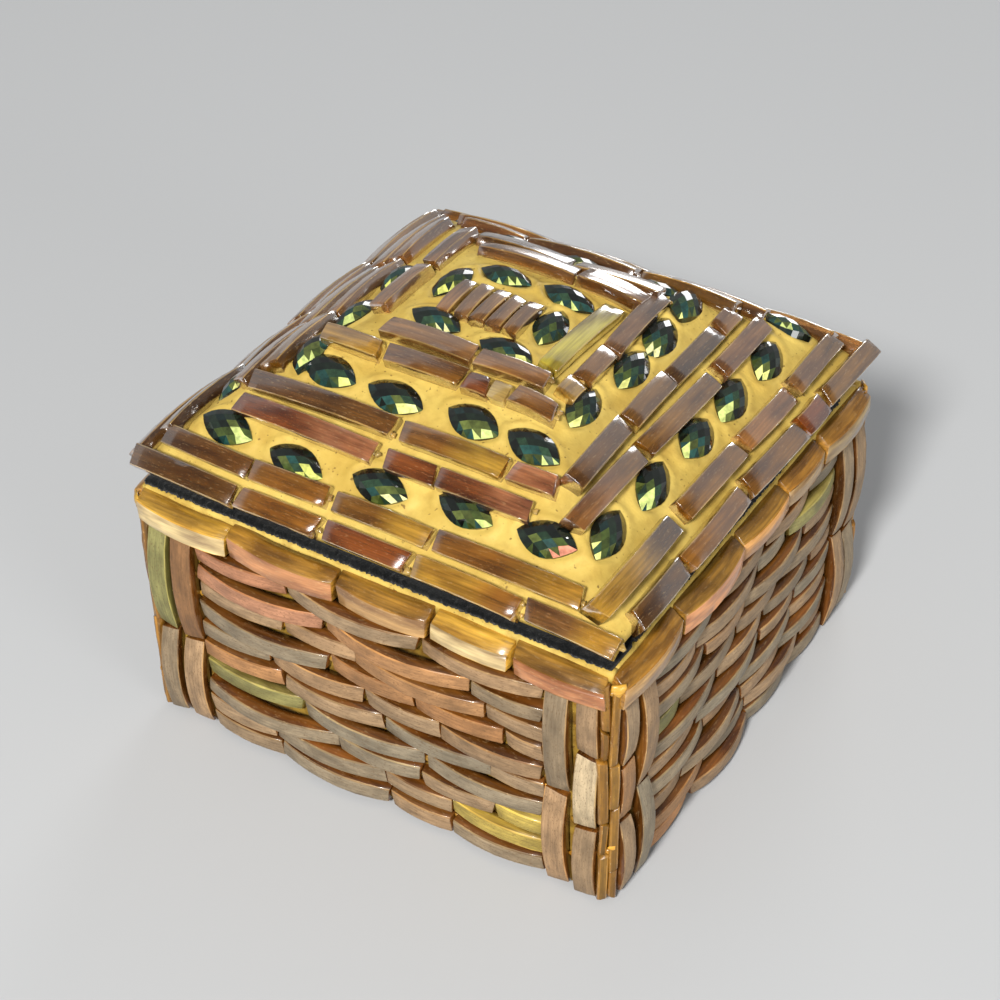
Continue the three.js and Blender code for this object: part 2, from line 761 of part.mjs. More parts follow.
woodenBox(screwHoles(-1));
lacCoats();
linings();
SIDES.forEach((side, i) => {
  sideGlass(side);
  cornerPost(side, SIDES[(i + 1) % SIDES.length]);
});
lidShell(screwHoles(1));
SIDES.forEach((side) => {
  const [edge, one, two, three, four, last] = rings;
  chipBand("lid_chips_outer", side, edge, one, LID_ROWS.outer[side.name], LID_OVERHANG);
  stoneBand("lid_stones_outer", side, one, two, STONES.outer[side.name]);
  chipBand("lid_chips_middle", side, two, three, LID_ROWS.middle[side.name], 0);
  stoneBand("lid_stones_inner", side, three, four, STONES.inner[side.name]);
  chipBand("lid_chips_inner", side, four, last, LID_ROWS.inner[side.name], 0);
});
crown();
hinge();

export default root;
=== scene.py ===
import math

import bmesh
import bpy
import numpy as np
from mathutils import Matrix, Vector


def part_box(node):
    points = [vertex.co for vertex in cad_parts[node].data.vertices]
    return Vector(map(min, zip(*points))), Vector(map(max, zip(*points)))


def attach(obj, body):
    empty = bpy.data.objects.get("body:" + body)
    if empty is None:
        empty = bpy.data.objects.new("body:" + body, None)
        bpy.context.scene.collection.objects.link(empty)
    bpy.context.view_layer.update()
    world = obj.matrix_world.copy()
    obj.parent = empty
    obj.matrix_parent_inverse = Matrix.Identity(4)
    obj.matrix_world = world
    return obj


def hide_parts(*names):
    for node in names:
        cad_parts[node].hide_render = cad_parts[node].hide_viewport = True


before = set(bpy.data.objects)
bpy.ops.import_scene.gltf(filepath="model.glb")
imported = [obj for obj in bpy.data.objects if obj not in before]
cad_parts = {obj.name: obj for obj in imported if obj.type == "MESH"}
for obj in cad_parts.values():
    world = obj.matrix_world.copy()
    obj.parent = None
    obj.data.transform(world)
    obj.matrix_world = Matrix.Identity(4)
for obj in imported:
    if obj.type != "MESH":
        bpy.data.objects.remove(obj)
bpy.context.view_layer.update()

MM = 0.001


# ---- Sizes that the frame gives ----


def span(node):
    """Lowest and highest corner of a CAD node, in millimetres."""
    low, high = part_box(node)
    return [value / MM for value in low], [value / MM for value in high]


FRONT_LOW, FRONT_HIGH = span("base_lac_front")
HALF_X = FRONT_HIGH[0]
HALF_Y = -FRONT_LOW[1]
FOOT = FRONT_LOW[2]
WALL_TOP = FRONT_HIGH[2]
LAC = FRONT_HIGH[1] - FRONT_LOW[1]
LID_LOW, LID_HIGH = span("lid_lac")
LID_X = LID_HIGH[0]
LID_Y = LID_HIGH[1]
LID_BOTTOM = LID_LOW[2]
CROWN_TOP = LID_HIGH[2]
RIM_LOW, RIM_HIGH = span("rim_row_front")
FIELD_LOW, FIELD_HIGH = span("glass_field_front")
POST_WIDTH = HALF_X - FIELD_HIGH[0]

# ---- Design values shared with the CAD model ----

LID_EDGE = 1.9
BAND_WIDTHS = [4.2, 4.7, 4.6, 5.2, 5.7]
CROWN_HALF = 10.1
PATTERN_SHIFT = (-3.2, 2.2)
DOME_POWER = 2.05
CHIP_GAP = 0.45
STONE_LENGTH = 9.4
STONE_WIDTH = 4.7

DOME_HALF = min(LID_X, LID_Y)
PATTERN = DOME_HALF - CROWN_HALF
RING_DISTANCES = [
    PATTERN * sum(BAND_WIDTHS[:i]) / sum(BAND_WIDTHS) for i in range(len(BAND_WIDTHS) + 1)
]

# ---- Sides ----

SIDES = ["front", "right", "back", "left"]
TURNS = {name: i * math.pi / 2 for i, name in enumerate(SIDES)}
RUN = {"front": HALF_X, "right": HALF_Y, "back": HALF_X, "left": HALF_Y}
REACH = {"front": HALF_Y, "right": HALF_X, "back": HALF_Y, "left": HALF_X}
LID_REACH = {"front": LID_Y, "right": LID_X, "back": LID_Y, "left": LID_X}
ALONG = {"front": (1, 0), "right": (0, 1), "back": (-1, 0), "left": (0, -1)}
INWARD = {"front": (0, 1), "right": (-1, 0), "back": (0, -1), "left": (1, 0)}


# ---- Colours ----


def linear(red, green, blue):
    """Linear colour of an sRGB colour given from 0 to 255."""
    return np.array([((value / 255 + 0.055) / 1.055) ** 2.4 for value in (red, green, blue)])


# Outer faces of the side glass: tan, grey, orange, pink, yellow, olive, brown and pale
COATS = {
    "T": linear(154, 126, 94),
    "G": linear(138, 122, 98),
    "O": linear(164, 120, 78),
    "P": linear(172, 120, 88),
    "Y": linear(184, 158, 76),
    "V": linear(138, 130, 78),
    "B": linear(124, 90, 58),
    "W": linear(186, 168, 136),
}
# Glass of the lid: amber, dark, reddish, gold, olive, frosted pink, tan and clear
LID_GLASS = {
    "A": linear(116, 78, 26),
    "D": linear(86, 56, 20),
    "R": linear(116, 62, 24),
    "K": linear(166, 130, 52),
    "L": linear(174, 160, 62),
    "F": linear(158, 104, 78),
    "T": linear(124, 86, 50),
    "C": linear(190, 160, 98),
}
AMBER = linear(90, 54, 18)
GOLD = linear(168, 132, 54)
RESIN = linear(150, 112, 40)

# ---- Glass rows: each piece's colour letter and relative length, from left to right ----

RIM_ROWS = {
    "front": "W14.5 P16.5 T13.5 W11 P12.5",
    "right": "T14 P15.5 O12 T10.5 G14",
    "back": "T13 P15 W12 O15 T12",
    "left": "O12 T16 P14 Y13 T13",
}
FIELD_COURSES = {
    "front": [
        "T12 G18 T10 G14", "T11 G18 T10 Y14", "G23.5 G14 T12 Y7.5", "V16 G19 G17.5",
        "O13.5 T16.5 G17 T8", "G11 T14.5 T11.5 T15", "G21 O13 O13.5 T5.5", "T13.5 T11 O19.5 T8",
        "P20.5 O22 G10.5", "P15 T20.5 T18",
    ],
    "right": [
        "O12 T17 G14 G11", "O17 G13 T19 T8", "T9 G18 T12 G16", "G16 T10 G17 T13",
        "T13 G19 T11 G12", "G19 T14 G15 T7", "V8 G16 T13 G18", "G15 T12 G19 T10",
        "T12 T18 G9 V16", "G18 T15 T14 G9",
    ],
    "back": [
        "T14 G16 O13 T12", "G19 T12 T16 G9", "T11 P15 G18 T11", "G17 T14 T10 V15",
        "T9 G19 T15 G12", "O15 T11 G13 T16", "T12 G17 T18 T8", "G18 V13 T12 G12",
        "T10 T16 G14 P15", "T16 G18 T11 O10",
    ],
    "left": [
        "G16 T12 T17 G10", "T11 G18 G13 T13", "O18 T14 G9 T15", "T13 G11 T16 G15",
        "G10 T17 P12 T16", "T17 G15 T14 V9", "G12 T13 G19 T11", "T15 O17 T8 G15",
        "G9 T14 G16 T16", "T14 G19 T12 T10",
    ],
}
# Upright columns of each corner, the first on the left of the corner as one faces it
POST_COLUMNS = {
    "front": ["T16 G17", "T12 W13 T9"],
    "right": ["T15 G16", "G14 T18"],
    "back": ["T18 G15", "G9 T13 T12"],
    "left": ["G17 T16", "T14 G19"],
}
NEXT_COLUMNS = {
    "front": ["T13 O9 T11", "G15 T17"],
    "right": ["G16 T16", "T12 G20"],
    "back": ["T11 G12 T10", "T17 G15"],
    "left": ["G15 V17", "T14 B17"],
}
# Rows of the lid's three rings: distance from the lid's edge, and each piece's colour and
# its two ends along the side. A piece with two letters goes from the first to the second.
LID_ROWS = {
    "outer": {
        "front": [
            (0.2, "D -36.6 -19.9, A -19 -6.8, R -5.2 7, KA 7.9 23.4, TK 24.2 37"),
            (3.3, "D -33.2 -19.4, A -19 -7.3, AK -6 8.5, AK 9.4 30.4"),
        ],
        "right": [
            (0.1, "D -31 -19.2, A -18.2 -2.6, A -1 13.8, R 14.8 21, A 22.4 37.4"),
            (3.6, "KD -34.6 -15.3, A -12.8 2.6, T 4.3 17.8, TA 19.2 32.6"),
        ],
        "back": [
            (0.1, "T -35.6 -21, A -20.2 -3, T -2 11.6, T 12.6 35.4"),
            (2.8, "T -32.6 -18, A -17.2 0, T 0.8 17.5, A 18.3 32"),
        ],
        "left": [
            (0.1, "T -34.6 -19, T -18.2 -0.6, A 0.4 13, T 14 35.6"),
            (2.8, "A -32.4 -15, T -14 -1, T 0 15.6, D 16.4 32.4"),
        ],
    },
    "middle": {
        "front": [
            (9.7, "RF -25.7 -4.2, R -2 5.2, RF 5.8 19.2"),
            (13.2, "D -25.7 -3.3, AK -2 13.4, F 14.2 20.8"),
        ],
        "right": [
            (11.1, "TA -26.6 -10.2, A -9.1 9.2, T 11.2 24.6"),
            (14.6, "D -21.7 -7.8, A -7 3.5, D 4.3 16.8, T 17.8 22"),
        ],
        "back": [
            (9.7, "T -25 -9, A -8.2 7, T 8 25"),
            (12.3, "A -22 -7, T -6 11, T 12 22.4"),
        ],
        "left": [
            (8.9, "T -25 -8.6, A -7.8 8, T 9 23.6"),
            (11.7, "T -22 -10, T -9 6.4, A 7.2 20.6"),
        ],
    },
    "inner": {
        "front": [
            (22.2, "K -20.6 -11.4, A -10.4 1.2, R 1.8 5.4, C 5.8 8.2, A 8.6 15.2"),
            (26, "T -13 0.6, T 1.2 11.6"),
        ],
        "right": [
            (22.2, "K -10.2 -6.6, A -6 1.1, TD 1.7 16.4"),
            (26, "L -7.5 8.9"),
        ],
        "back": [
            (19.9, "T -14 -1, A 0 15"),
            (23, "T -13.2 -3.4, T -2.6 12.6"),
        ],
        "left": [(19.5, "T -16.2 -6.6, T -5.6 6.2")],
    },
}
# Stones: place along the side, place across the band, and turn in degrees
STONES = {
    "outer": {
        "front": [
            (-26, -0.8, -6), (-14.2, -1.8, -8), (-1.6, -0.9, -3), (10.8, 0, -8), (22.5, 0.2, 2),
        ],
        "right": [(-23.4, 0, 12), (-12, 0, 14), (-0.2, 0, 8), (9.7, 0, 12), (20.4, 0, 12)],
        "back": [(-26.3, 0, 8), (-13.5, 0.3, -4), (-1, 0, 6), (11.5, -0.2, 3), (24, 0, -5)],
        "left": [(-14.3, 0, 6), (-3, 0.3, -5), (8.5, -0.2, 4), (20.8, 0, -3)],
    },
    "inner": {
        "front": [(-16.7, -0.9, -6), (-6.1, -1.2, -6), (5.6, -0.8, -10), (14.8, -1.2, -12)],
        "right": [(-9.1, 0.6, 8), (2, -0.3, 6), (10.3, 0, 12), (19.1, 0.8, 16)],
        "back": [(-11, 0, 6), (1.2, -0.2, -4), (12, 0.2, 5)],
        "left": [(-4.5, 0, 5), (6.3, 0.2, -4), (16.1, 0, 6)],
    },
}
CROWN_STONES = [
    (-11.2, 3.2, 84),
    (-5.4, 7.6, -4),
    (4.4, 7.8, -6),
    (5.7, 0.8, 98),
    (-8.2, -5.6, -8),
    (3.4, -6.8, -4),
]
CROWN_BARS = [("T", -7.9), ("T", -5.1), ("T", -2.6), ("T", -0.1), ("A", 2.4)]
CROWN_BAR_Y = -0.8
STONE_BANDS = {"outer": (1, 2), "inner": (3, 4)}

# ---- Mesh building ----

rng = np.random.default_rng(20)


class Build:
    """Vertices and faces of one piece. Each face has a material number and one colour, or
    one for each of its corners."""

    def __init__(self):
        self.points = []
        self.faces = []
        self.tints = []
        self.slots = []
        self.grain = []

    def add(self, points, faces, slots, tints, grain):
        start = len(self.points)
        self.points.extend(points)
        self.grain.extend(grain)
        self.faces.extend([[start + i for i in face] for face in faces])
        self.slots.extend(slots)
        self.tints.extend(tints)

    def piece(self, name, body, nodes, slot, materials, smooth=True):
        """The finished object, with its colours and its grain's place as attributes."""
        mesh = bpy.data.meshes.new(name)
        mesh.from_pydata([tuple(point) for point in np.array(self.points) * MM], [], self.faces)
        tint = mesh.attributes.new("Tint", "FLOAT_COLOR", "CORNER")
        rows = []
        for face, tint_of_face in zip(self.faces, self.tints):
            rows.extend(np.broadcast_to(tint_of_face, (len(face), 3)))
        rows = np.pad(np.array(rows), ((0, 0), (0, 1)), constant_values=1)
        tint.data.foreach_set("color", rows.astype(np.float32).ravel())
        grain = mesh.attributes.new("Grain", "FLOAT_VECTOR", "POINT")
        grain.data.foreach_set("vector", np.array(self.grain, np.float32).ravel())
        for material in materials:
            mesh.materials.append(material)
        mesh.polygons.foreach_set("material_index", self.slots)
        mesh.polygons.foreach_set("use_smooth", [smooth] * len(self.faces))
        mesh.validate()
        return show(bpy.data.objects.new(name, mesh), body, nodes)


def link_to_scene(thing):
    bpy.context.scene.collection.objects.link(thing)


def show(piece, body, nodes):
    """Puts a piece in the scene, on its body, in place of its CAD nodes."""
    link_to_scene(piece)
    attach(piece, body)
    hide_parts(*nodes)
    return piece


def waves(x, y, size, seed, count=7):
    """Smooth noise from about -1 to 1 whose bumps are about `size` across."""
    draw = np.random.default_rng(seed)
    total = np.zeros(np.broadcast(x, y).shape)
    for _ in range(count):
        angle = draw.uniform(0, math.tau)
        length = size * draw.uniform(0.7, 1.6)
        phase = draw.uniform(0, math.tau)
        run = x * math.cos(angle) + y * math.sin(angle)
        total = total + np.sin(run * math.tau / length + phase)
    return total / math.sqrt(count * 2)


def turned(points, turn):
    """Points (n, 3) turned about the vertical axis."""
    cos, sin = math.cos(turn), math.sin(turn)
    x, y, z = np.asarray(points, float).T
    return np.stack([x * cos - y * sin, x * sin + y * cos, z], 1)


def on_side(side):
    """From a side's own (along, up, out) to the row frame."""
    reach = REACH[side]
    return lambda p: turned(np.stack([p[:, 0], -reach - p[:, 2], p[:, 1]], 1), TURNS[side])


# ---- Glass segments ----

COAT, EDGE, BODY = 0, 1, 2
SINK = 0.7
FOOT_SHARE = 0.94
WAIST_SHARE = 0.15
ROUNDING = (180, 150, 120, 95)
FACE_SHARE = 0.3
FACE_RISE = 0.05
STATION_STEP = 1.4
END_LENGTH = 0.1
END_RUN = 0.3
# The most that a segment is off true: its ends across and outwards, its bow and its yaw
SKEW, LEAN, BOW, YAW = 0.4, 0.25, 0.12, 0.14
TILT = 0.26
TILT_PER_MM = 0.018
WOBBLE = 0.018
BANGLE_RADIUS = 27
GRAIN_RANGE = 500


def section(height, proud, corner, slope):
    """Outline across a segment, as (up, out), and the material of each stretch of it.

    `corner` is the radius of its outer edges, and its upper face falls by `slope`.
    """
    half = height / 2
    lower = [(-half * FOOT_SHARE, -SINK), (-half, WAIST_SHARE * proud)]
    for turn in map(math.radians, ROUNDING):
        across, outwards = corner * math.cos(turn), corner * math.sin(turn)
        lower.append((corner - half + across, proud - corner + outwards))
    face = [(share * half, proud + FACE_RISE) for share in (-FACE_SHARE, FACE_SHARE)]
    upper = [(-up, out) for up, out in reversed(lower)]
    points = np.array(lower + face + upper)
    raised = points[-len(upper) :]
    raised[:, 0] -= slope * np.clip(raised[:, 1] / proud, 0, 1)
    kinds = [BODY] * 2 + [EDGE] * 3 + [COAT] * 3 + [EDGE] * 3 + [BODY] * 3
    return points, kinds


def tube(stations, around):
    """Faces of a tube whose outlines follow each other, and of its two ends."""
    faces = []
    for i in range(stations - 1):
        for k in range(around):
            a, b = i * around + k, i * around + (k + 1) % around
            faces.append([a, b, b + around, a + around])
    faces.append(list(range(around))[::-1])
    faces.append([(stations - 1) * around + k for k in range(around)])
    return faces


def segment(
    build, place, middle, size, crown, colors, corner=0.14, slope=0.0, shade=None, upright=False
):
    """One piece of bangle: a bar that bends outwards, with broken ends.

    `place` maps (along, up, out) to the row frame, `size` is (length, height, proud) and
    `colors` are those of the coat, the edges and the body. `shade` gives colours along it.
    """
    length, height, proud = size
    outline, kinds = section(height, proud, corner, slope)
    inset = END_LENGTH / length
    inner = np.linspace(2 * inset - 1, 1 - 2 * inset, max(5, int(length / STATION_STEP)))
    stations = np.concatenate([[-1], inner, [1]])
    skew = rng.uniform(-SKEW, SKEW, 2)
    lean = rng.uniform(-LEAN, LEAN, 2)
    bow = rng.uniform(-BOW, BOW)
    tilt = rng.uniform(-1, 1) * min(TILT, length * TILT_PER_MM)
    yaw = rng.uniform(-YAW, YAW)
    wobble = rng.normal(0, WOBBLE, (len(stations), len(outline), 3))
    rows = []
    for i, u in enumerate(stations):
        end = i in (0, len(stations) - 1)
        up = outline[:, 0] * (0.96 if end else 1.0)
        out = outline[:, 1] - (0.06 if end else 0.0) + crown * (1 - u * u) + yaw * u
        nearness = max(0.0, abs(u) - 1 + END_RUN) / END_RUN
        hand = 0 if u < 0 else 1
        shift = skew[hand] * outline[:, 0] / height * 2 + lean[hand] * out / proud
        s = u * length / 2 + nearness * shift
        rows.append(np.stack([s, up + bow * (1 - u * u) + tilt * u, out], 1) + wobble[i])
    local = np.concatenate(rows)
    faces = tube(len(stations), len(outline))
    slots = kinds * (len(stations) - 1) + [BODY, BODY]
    shades = [shade(u) if shade else colors for u in stations]
    tints = []
    for near, far in zip(shades, shades[1:]):
        tints += [[near[kind]] * 2 + [far[kind]] * 2 for kind in kinds]
    tints += [colors[BODY] * 1.3] * 2
    grain = local + rng.uniform(0, GRAIN_RANGE, 3)
    moved = np.stack([-local[:, 1], local[:, 0], local[:, 2]], 1) if upright else local.copy()
    moved[:, :2] += middle
    build.add(place(moved), faces, slots, tints, grain)


def varied(color, amount=0.16):
    """A colour with its lightness and warmth changed a little."""
    light = rng.uniform(1 - amount, 1 + amount)
    warmth = rng.uniform(-0.06, 0.06)
    return np.clip(color * light * np.array([1 + warmth, 1, 1 - warmth]), 0.002, 0.95)


def row_of(text):
    """Colour letters and lengths of a row such as "T12 G18"."""
    words = text.split()
    return [word[0] for word in words], [float(word[1:]) for word in words]


def laid(lengths, start, end, gap=CHIP_GAP):
    """Middles and lengths of segments that share the run from start to end."""
    room = end - start - gap * (len(lengths) - 1)
    place = start
    for length in lengths:
        run = room * length / sum(lengths)
        yield place + run / 2, run
        place += run + gap


def bulge(length, radius=BANGLE_RADIUS):
    """How far the middle of a bangle's arc stands in front of its ends."""
    return length * length / (8 * radius)


BLOB_RINGS = 4
BLOB_AROUND = 8
BLOB_RISE = 0.55


def blob(build, place, middle, size, color):
    """A bead of resin that has run into a joint: half a lens with three soft lobes."""
    around = BLOB_AROUND
    points = [(0, 0, size * BLOB_RISE)]
    for i in range(1, BLOB_RINGS + 1):
        tilt = i / BLOB_RINGS * math.pi / 2
        for k in range(around):
            turn = math.tau * k / around
            reach = size * math.sin(tilt) * (1 + 0.25 * math.sin(3 * turn + size * 40))
            height = size * BLOB_RISE * math.cos(tilt)
            points.append((reach * math.cos(turn), reach * math.sin(turn), height))
    faces = [[0, 1 + k, 1 + (k + 1) % around] for k in range(around)]
    for i in range(BLOB_RINGS - 1):
        for k in range(around):
            a, b = 1 + i * around + k, 1 + i * around + (k + 1) % around
            faces.append([a, a + around, b + around, b])
    faces.append([1 + (BLOB_RINGS - 1) * around + k for k in range(around)][::-1])
    local = np.array(points) + np.array(middle)
    build.add(place(local), faces, [EDGE] * len(faces), [color] * len(faces), local)


# ---- Materials ----


class Shader:
    """A node material: a principled shader, and short calls that add nodes to it."""

    def __init__(self, name, **fixed):
        self.material = bpy.data.materials.new(name)
        self.material.use_nodes = True
        self.tree = self.material.node_tree
        self.main = self.tree.nodes["Principled BSDF"]
        for socket, value in fixed.items():
            self.main.inputs[socket.replace("_", " ")].default_value = value

    def node(self, kind, **values):
        node = self.tree.nodes.new(kind)
        for key, value in values.items():
            setattr(node, key, value)
        return node

    def link(self, source, target):
        self.tree.links.new(source, target)

    def attribute(self, name, output):
        return self.node("ShaderNodeAttribute", attribute_name=name).outputs[output]

    def place(self):
        return self.node("ShaderNodeTexCoord").outputs["Object"]

    def noise(self, vector, stretch, scale=1.0, detail=3.0, roughness=0.55):
        mapping = self.node("ShaderNodeMapping")
        mapping.inputs["Scale"].default_value = stretch
        noise = self.node("ShaderNodeTexNoise")
        noise.inputs["Scale"].default_value = scale
        noise.inputs["Detail"].default_value = detail
        noise.inputs["Roughness"].default_value = roughness
        self.link(vector, mapping.inputs["Vector"])
        self.link(mapping.outputs["Vector"], noise.inputs["Vector"])
        return noise.outputs["Fac"]

    def spread(self, value, low, high, to_low, to_high):
        """A value from low to high, stretched to another range and held inside it."""
        node = self.node("ShaderNodeMapRange")
        limits = {"From Min": low, "From Max": high, "To Min": to_low, "To Max": to_high}
        for name, number in limits.items():
            node.inputs[name].default_value = number
        self.link(value, node.inputs["Value"])
        return node.outputs["Result"]

    def mix(self, factor, first, second, blend="MIX"):
        """Two colours mixed. The node's colour sockets go by number: their names repeat."""
        node = self.node("ShaderNodeMix", data_type="RGBA", blend_type=blend)
        sockets = [node.inputs[0], node.inputs[6], node.inputs[7]]
        for socket, source in zip(sockets, (factor, first, second)):
            if isinstance(source, bpy.types.NodeSocket):
                self.link(source, socket)
            elif isinstance(source, (int, float)):
                socket.default_value = source
            else:
                socket.default_value = (*source, 1.0)
        return node.outputs[2]

    def times(self, color, factor):
        """A colour made lighter or darker by a single number."""
        return self.mix(1.0, color, factor, "MULTIPLY")

    def color(self, source):
        self.link(source, self.main.inputs["Base Color"])

    def rough(self, source):
        self.link(source, self.main.inputs["Roughness"])

    def bump(self, height, strength, distance_mm):
        node = self.node("ShaderNodeBump")
        node.inputs["Strength"].default_value = strength
        node.inputs["Distance"].default_value = distance_mm * MM
        self.link(height, node.inputs["Height"])
        self.link(node.outputs["Normal"], self.main.inputs["Normal"])


def coat_material():
    """Matt painted outer face of a side segment, with fine lines along it."""
    shader = Shader("side_coat", Coat_Weight=0.05, Coat_Roughness=0.3, Specular_IOR_Level=0.35)
    tint = shader.attribute("Tint", "Color")
    grain = shader.attribute("Grain", "Vector")
    lines = shader.noise(grain, (0.16, 3.2, 1.6), detail=4)
    patches = shader.noise(grain, (0.28, 0.5, 0.5), detail=3)
    specks = shader.noise(grain, (2.4, 6.0, 4.0), detail=2)
    color = shader.times(tint, shader.spread(lines, 0.3, 0.7, 0.74, 1.18))
    color = shader.times(color, shader.spread(patches, 0.3, 0.7, 0.66, 1.2))
    worn = shader.spread(specks, 0.57, 0.7, 0, 0.7)
    shader.color(shader.mix(worn, color, linear(98, 72, 44)))
    shader.rough(shader.spread(patches, 0.3, 0.7, 0.5, 0.7))
    shader.bump(lines, 0.4, 0.05)
    return shader.material


def glass_material(name, roughness, streak, coat, through=0.0, scratched=0.0):
    """Glass seen in depth: light and dark streaks run along it, from brown to gold."""
    gloss = {"Coat_Weight": coat, "Coat_Roughness": 0.06, "IOR": 1.5}
    shader = Shader(name, Transmission_Weight=through, **gloss)
    tint = shader.attribute("Tint", "Color")
    grain = shader.attribute("Grain", "Vector")
    streaks = shader.noise(grain, (0.06, 3.0, 1.8), detail=5)
    clouds = shader.noise(grain, (0.12, 0.45, 0.45), detail=2)
    scratches = shader.noise(grain, (1.1, 5.0, 4.0), detail=2)
    color = shader.times(tint, shader.spread(streaks, 0.3, 0.7, 1 - streak, 1 + streak))
    gold = shader.mix(1.0, color, (1.5, 1.42, 1.05), "MULTIPLY")
    brown = shader.mix(1.0, color, (0.6, 0.5, 0.38), "MULTIPLY")
    color = shader.mix(shader.spread(clouds, 0.34, 0.66, 0, 1), brown, gold)
    if scratched:
        pale = shader.spread(scratches, 0.6, 0.7, 0, scratched)
        color = shader.mix(pale, color, linear(214, 180, 128))
    shader.color(color)
    shader.rough(shader.spread(clouds, 0.3, 0.7, roughness, roughness * 2))
    shader.bump(streaks, 0.3, 0.06)
    return shader.material


def lac_material(name, brown, low=None, high=None):
    """Mustard lac with pinholes and brown stains. Between the heights `low` and `high`, in
    millimetres, it goes from stained resin to clean lac."""
    shader = Shader(name, Coat_Weight=0.0, Specular_IOR_Level=0.3)
    place = shader.place()
    per_mm = 1 / MM
    clouds = shader.noise(place, (per_mm,) * 3, 0.13, detail=4)
    lumps = shader.noise(place, (per_mm,) * 3, 0.45, detail=3)
    holes = shader.noise(place, (per_mm,) * 3, 1.6, detail=1)
    pale, deep = linear(214, 186, 96), linear(194, 162, 74)
    color = shader.mix(shader.spread(clouds, 0.35, 0.65, 0, 1), pale, deep)
    stain = shader.spread(lumps, 0.48, 0.68, 0, brown)
    color = shader.mix(stain, color, linear(146, 106, 40))
    if low is not None:
        split = shader.node("ShaderNodeSeparateXYZ")
        shader.link(place, split.inputs["Vector"])
        clean = shader.spread(split.outputs["Z"], low * MM, high * MM, 0, 1)
        thin, thick = linear(112, 80, 28), linear(168, 134, 52)
        resin = shader.mix(shader.spread(lumps, 0.35, 0.65, 0, 1), thin, thick)
        color = shader.mix(clean, resin, color)
    pits = shader.spread(holes, 0.69, 0.76, 0, 0.7)
    shader.color(shader.mix(pits, color, linear(96, 62, 24)))
    shader.rough(shader.spread(lumps, 0.3, 0.7, 0.5, 0.7))
    shader.bump(holes, 0.5, 0.1)
    return shader.material


def stone_material():
    """Foiled glass: a bright clear coat over facets that each have their own tint, painted glints
    and painted lit facets among them.
    """
    gloss = {"Coat_Weight": 0.6, "Coat_Roughness": 0.03, "Specular_IOR_Level": 0.6}
    shader = Shader("navette_stone", Roughness=0.12, **gloss)
    tint = shader.attribute("Tint", "Color")
    grain = shader.attribute("Grain", "Vector")
    flaws = shader.noise(grain, (1.3, 1.3, 1.3), detail=4)
    shader.color(shader.times(tint, shader.spread(flaws, 0.3, 0.7, 0.6, 1.3)))
    return shader.material


def cloth_material(name, color, nap_mm):
    """Short black pile: sheen, and a nap that catches a little light."""
    sheen = {"Sheen_Weight": 0.16, "Sheen_Roughness": 0.4}
    shader = Shader(name, Specular_IOR_Level=0.05, Roughness=0.95, **sheen)
    place = shader.place()
    nap = shader.noise(place, (1 / (nap_mm * MM),) * 3, 1.0, detail=3, roughness=0.7)
    brushed = shader.noise(place, (1 / MM,) * 3, 0.09, detail=3)
    lint = shader.noise(place, (1 / MM,) * 3, 1.9, detail=2)
    base = shader.mix(shader.spread(nap, 0.35, 0.68, 0, 1), color * 0.3, color)
    base = shader.times(base, shader.spread(brushed, 0.35, 0.65, 0.7, 1.35))
    lint = shader.spread(lint, 0.75, 0.79, 0, 0.4)
    shader.color(shader.mix(lint, base, linear(86, 88, 90)))
    shader.bump(nap, 0.9, nap_mm * 0.9)
    return shader.material


def wood_material():
    """Plain sanded wood, its grain along x."""
    shader = Shader("plain_wood", Specular_IOR_Level=0.3)
    place = shader.place()
    grain = shader.noise(place, (40, 900, 900), 1.0, detail=6)
    pores = shader.noise(place, (160, 4200, 4200), 1.0, detail=2)
    pale, deep = linear(196, 156, 104), linear(150, 106, 62)
    base = shader.mix(shader.spread(grain, 0.3, 0.7, 0, 1), pale, deep)
    pores = shader.spread(pores, 0.58, 0.7, 0, 0.6)
    shader.color(shader.mix(pores, base, linear(96, 64, 36)))
    shader.rough(shader.spread(grain, 0.3, 0.7, 0.6, 0.8))
    shader.bump(grain, 0.3, 0.1)
    return shader.material


def steel_material():
    """Black lacquered steel, worn to bare metal in places."""
    shader = Shader("black_steel")
    place = shader.place()
    wear = shader.noise(place, (1 / MM,) * 3, 0.5, detail=5, roughness=0.7)
    fine = shader.noise(place, (300, 3000, 3000), 1.0, detail=3)
    worn = shader.spread(wear, 0.66, 0.72, 0, 0.8)
    shader.color(shader.mix(worn, linear(38, 36, 36), linear(128, 120, 108)))
    shader.link(shader.spread(worn, 0, 1, 0.3, 0.95), shader.main.inputs["Metallic"])
    shader.rough(shader.spread(fine, 0.3, 0.7, 0.28, 0.5))
    shader.bump(wear, 0.3, 0.05)
    return shader.material


COAT_MAT = coat_material()
SIDE_EDGE = glass_material("side_glass_edge", 0.24, 0.25, 0.25, scratched=0.4)
SIDE_BODY = glass_material("side_glass_body", 0.2, 0.45, 0.4, scratched=0.12)
RIM_COAT = glass_material("rim_glass_face", 0.3, 0.2, 0.4, scratched=0.3)
LID_TOP = glass_material("lid_glass_top", 0.12, 0.34, 0.12, 0.4, 0.2)
LID_EDGE_MAT = glass_material("lid_glass_edge", 0.1, 0.3, 0.4, 0.4, 0.8)
LID_BODY = glass_material("lid_glass_body", 0.1, 0.4, 0.3, 0.5, 0.3)
LAC_LID = lac_material("lid_lac_finish", 0.25)
LAC_SIDE = lac_material("side_lac_finish", 0.5, WALL_TOP - 1.7, WALL_TOP - 0.7)
STONE = stone_material()
VELVET = cloth_material("black_velvet", linear(34, 36, 37), 0.22)
FELT = cloth_material("black_felt", linear(40, 41, 42), 0.35)
WOOD = wood_material()
STEEL = steel_material()
SIDE_MATERIALS = [COAT_MAT, SIDE_EDGE, SIDE_BODY]
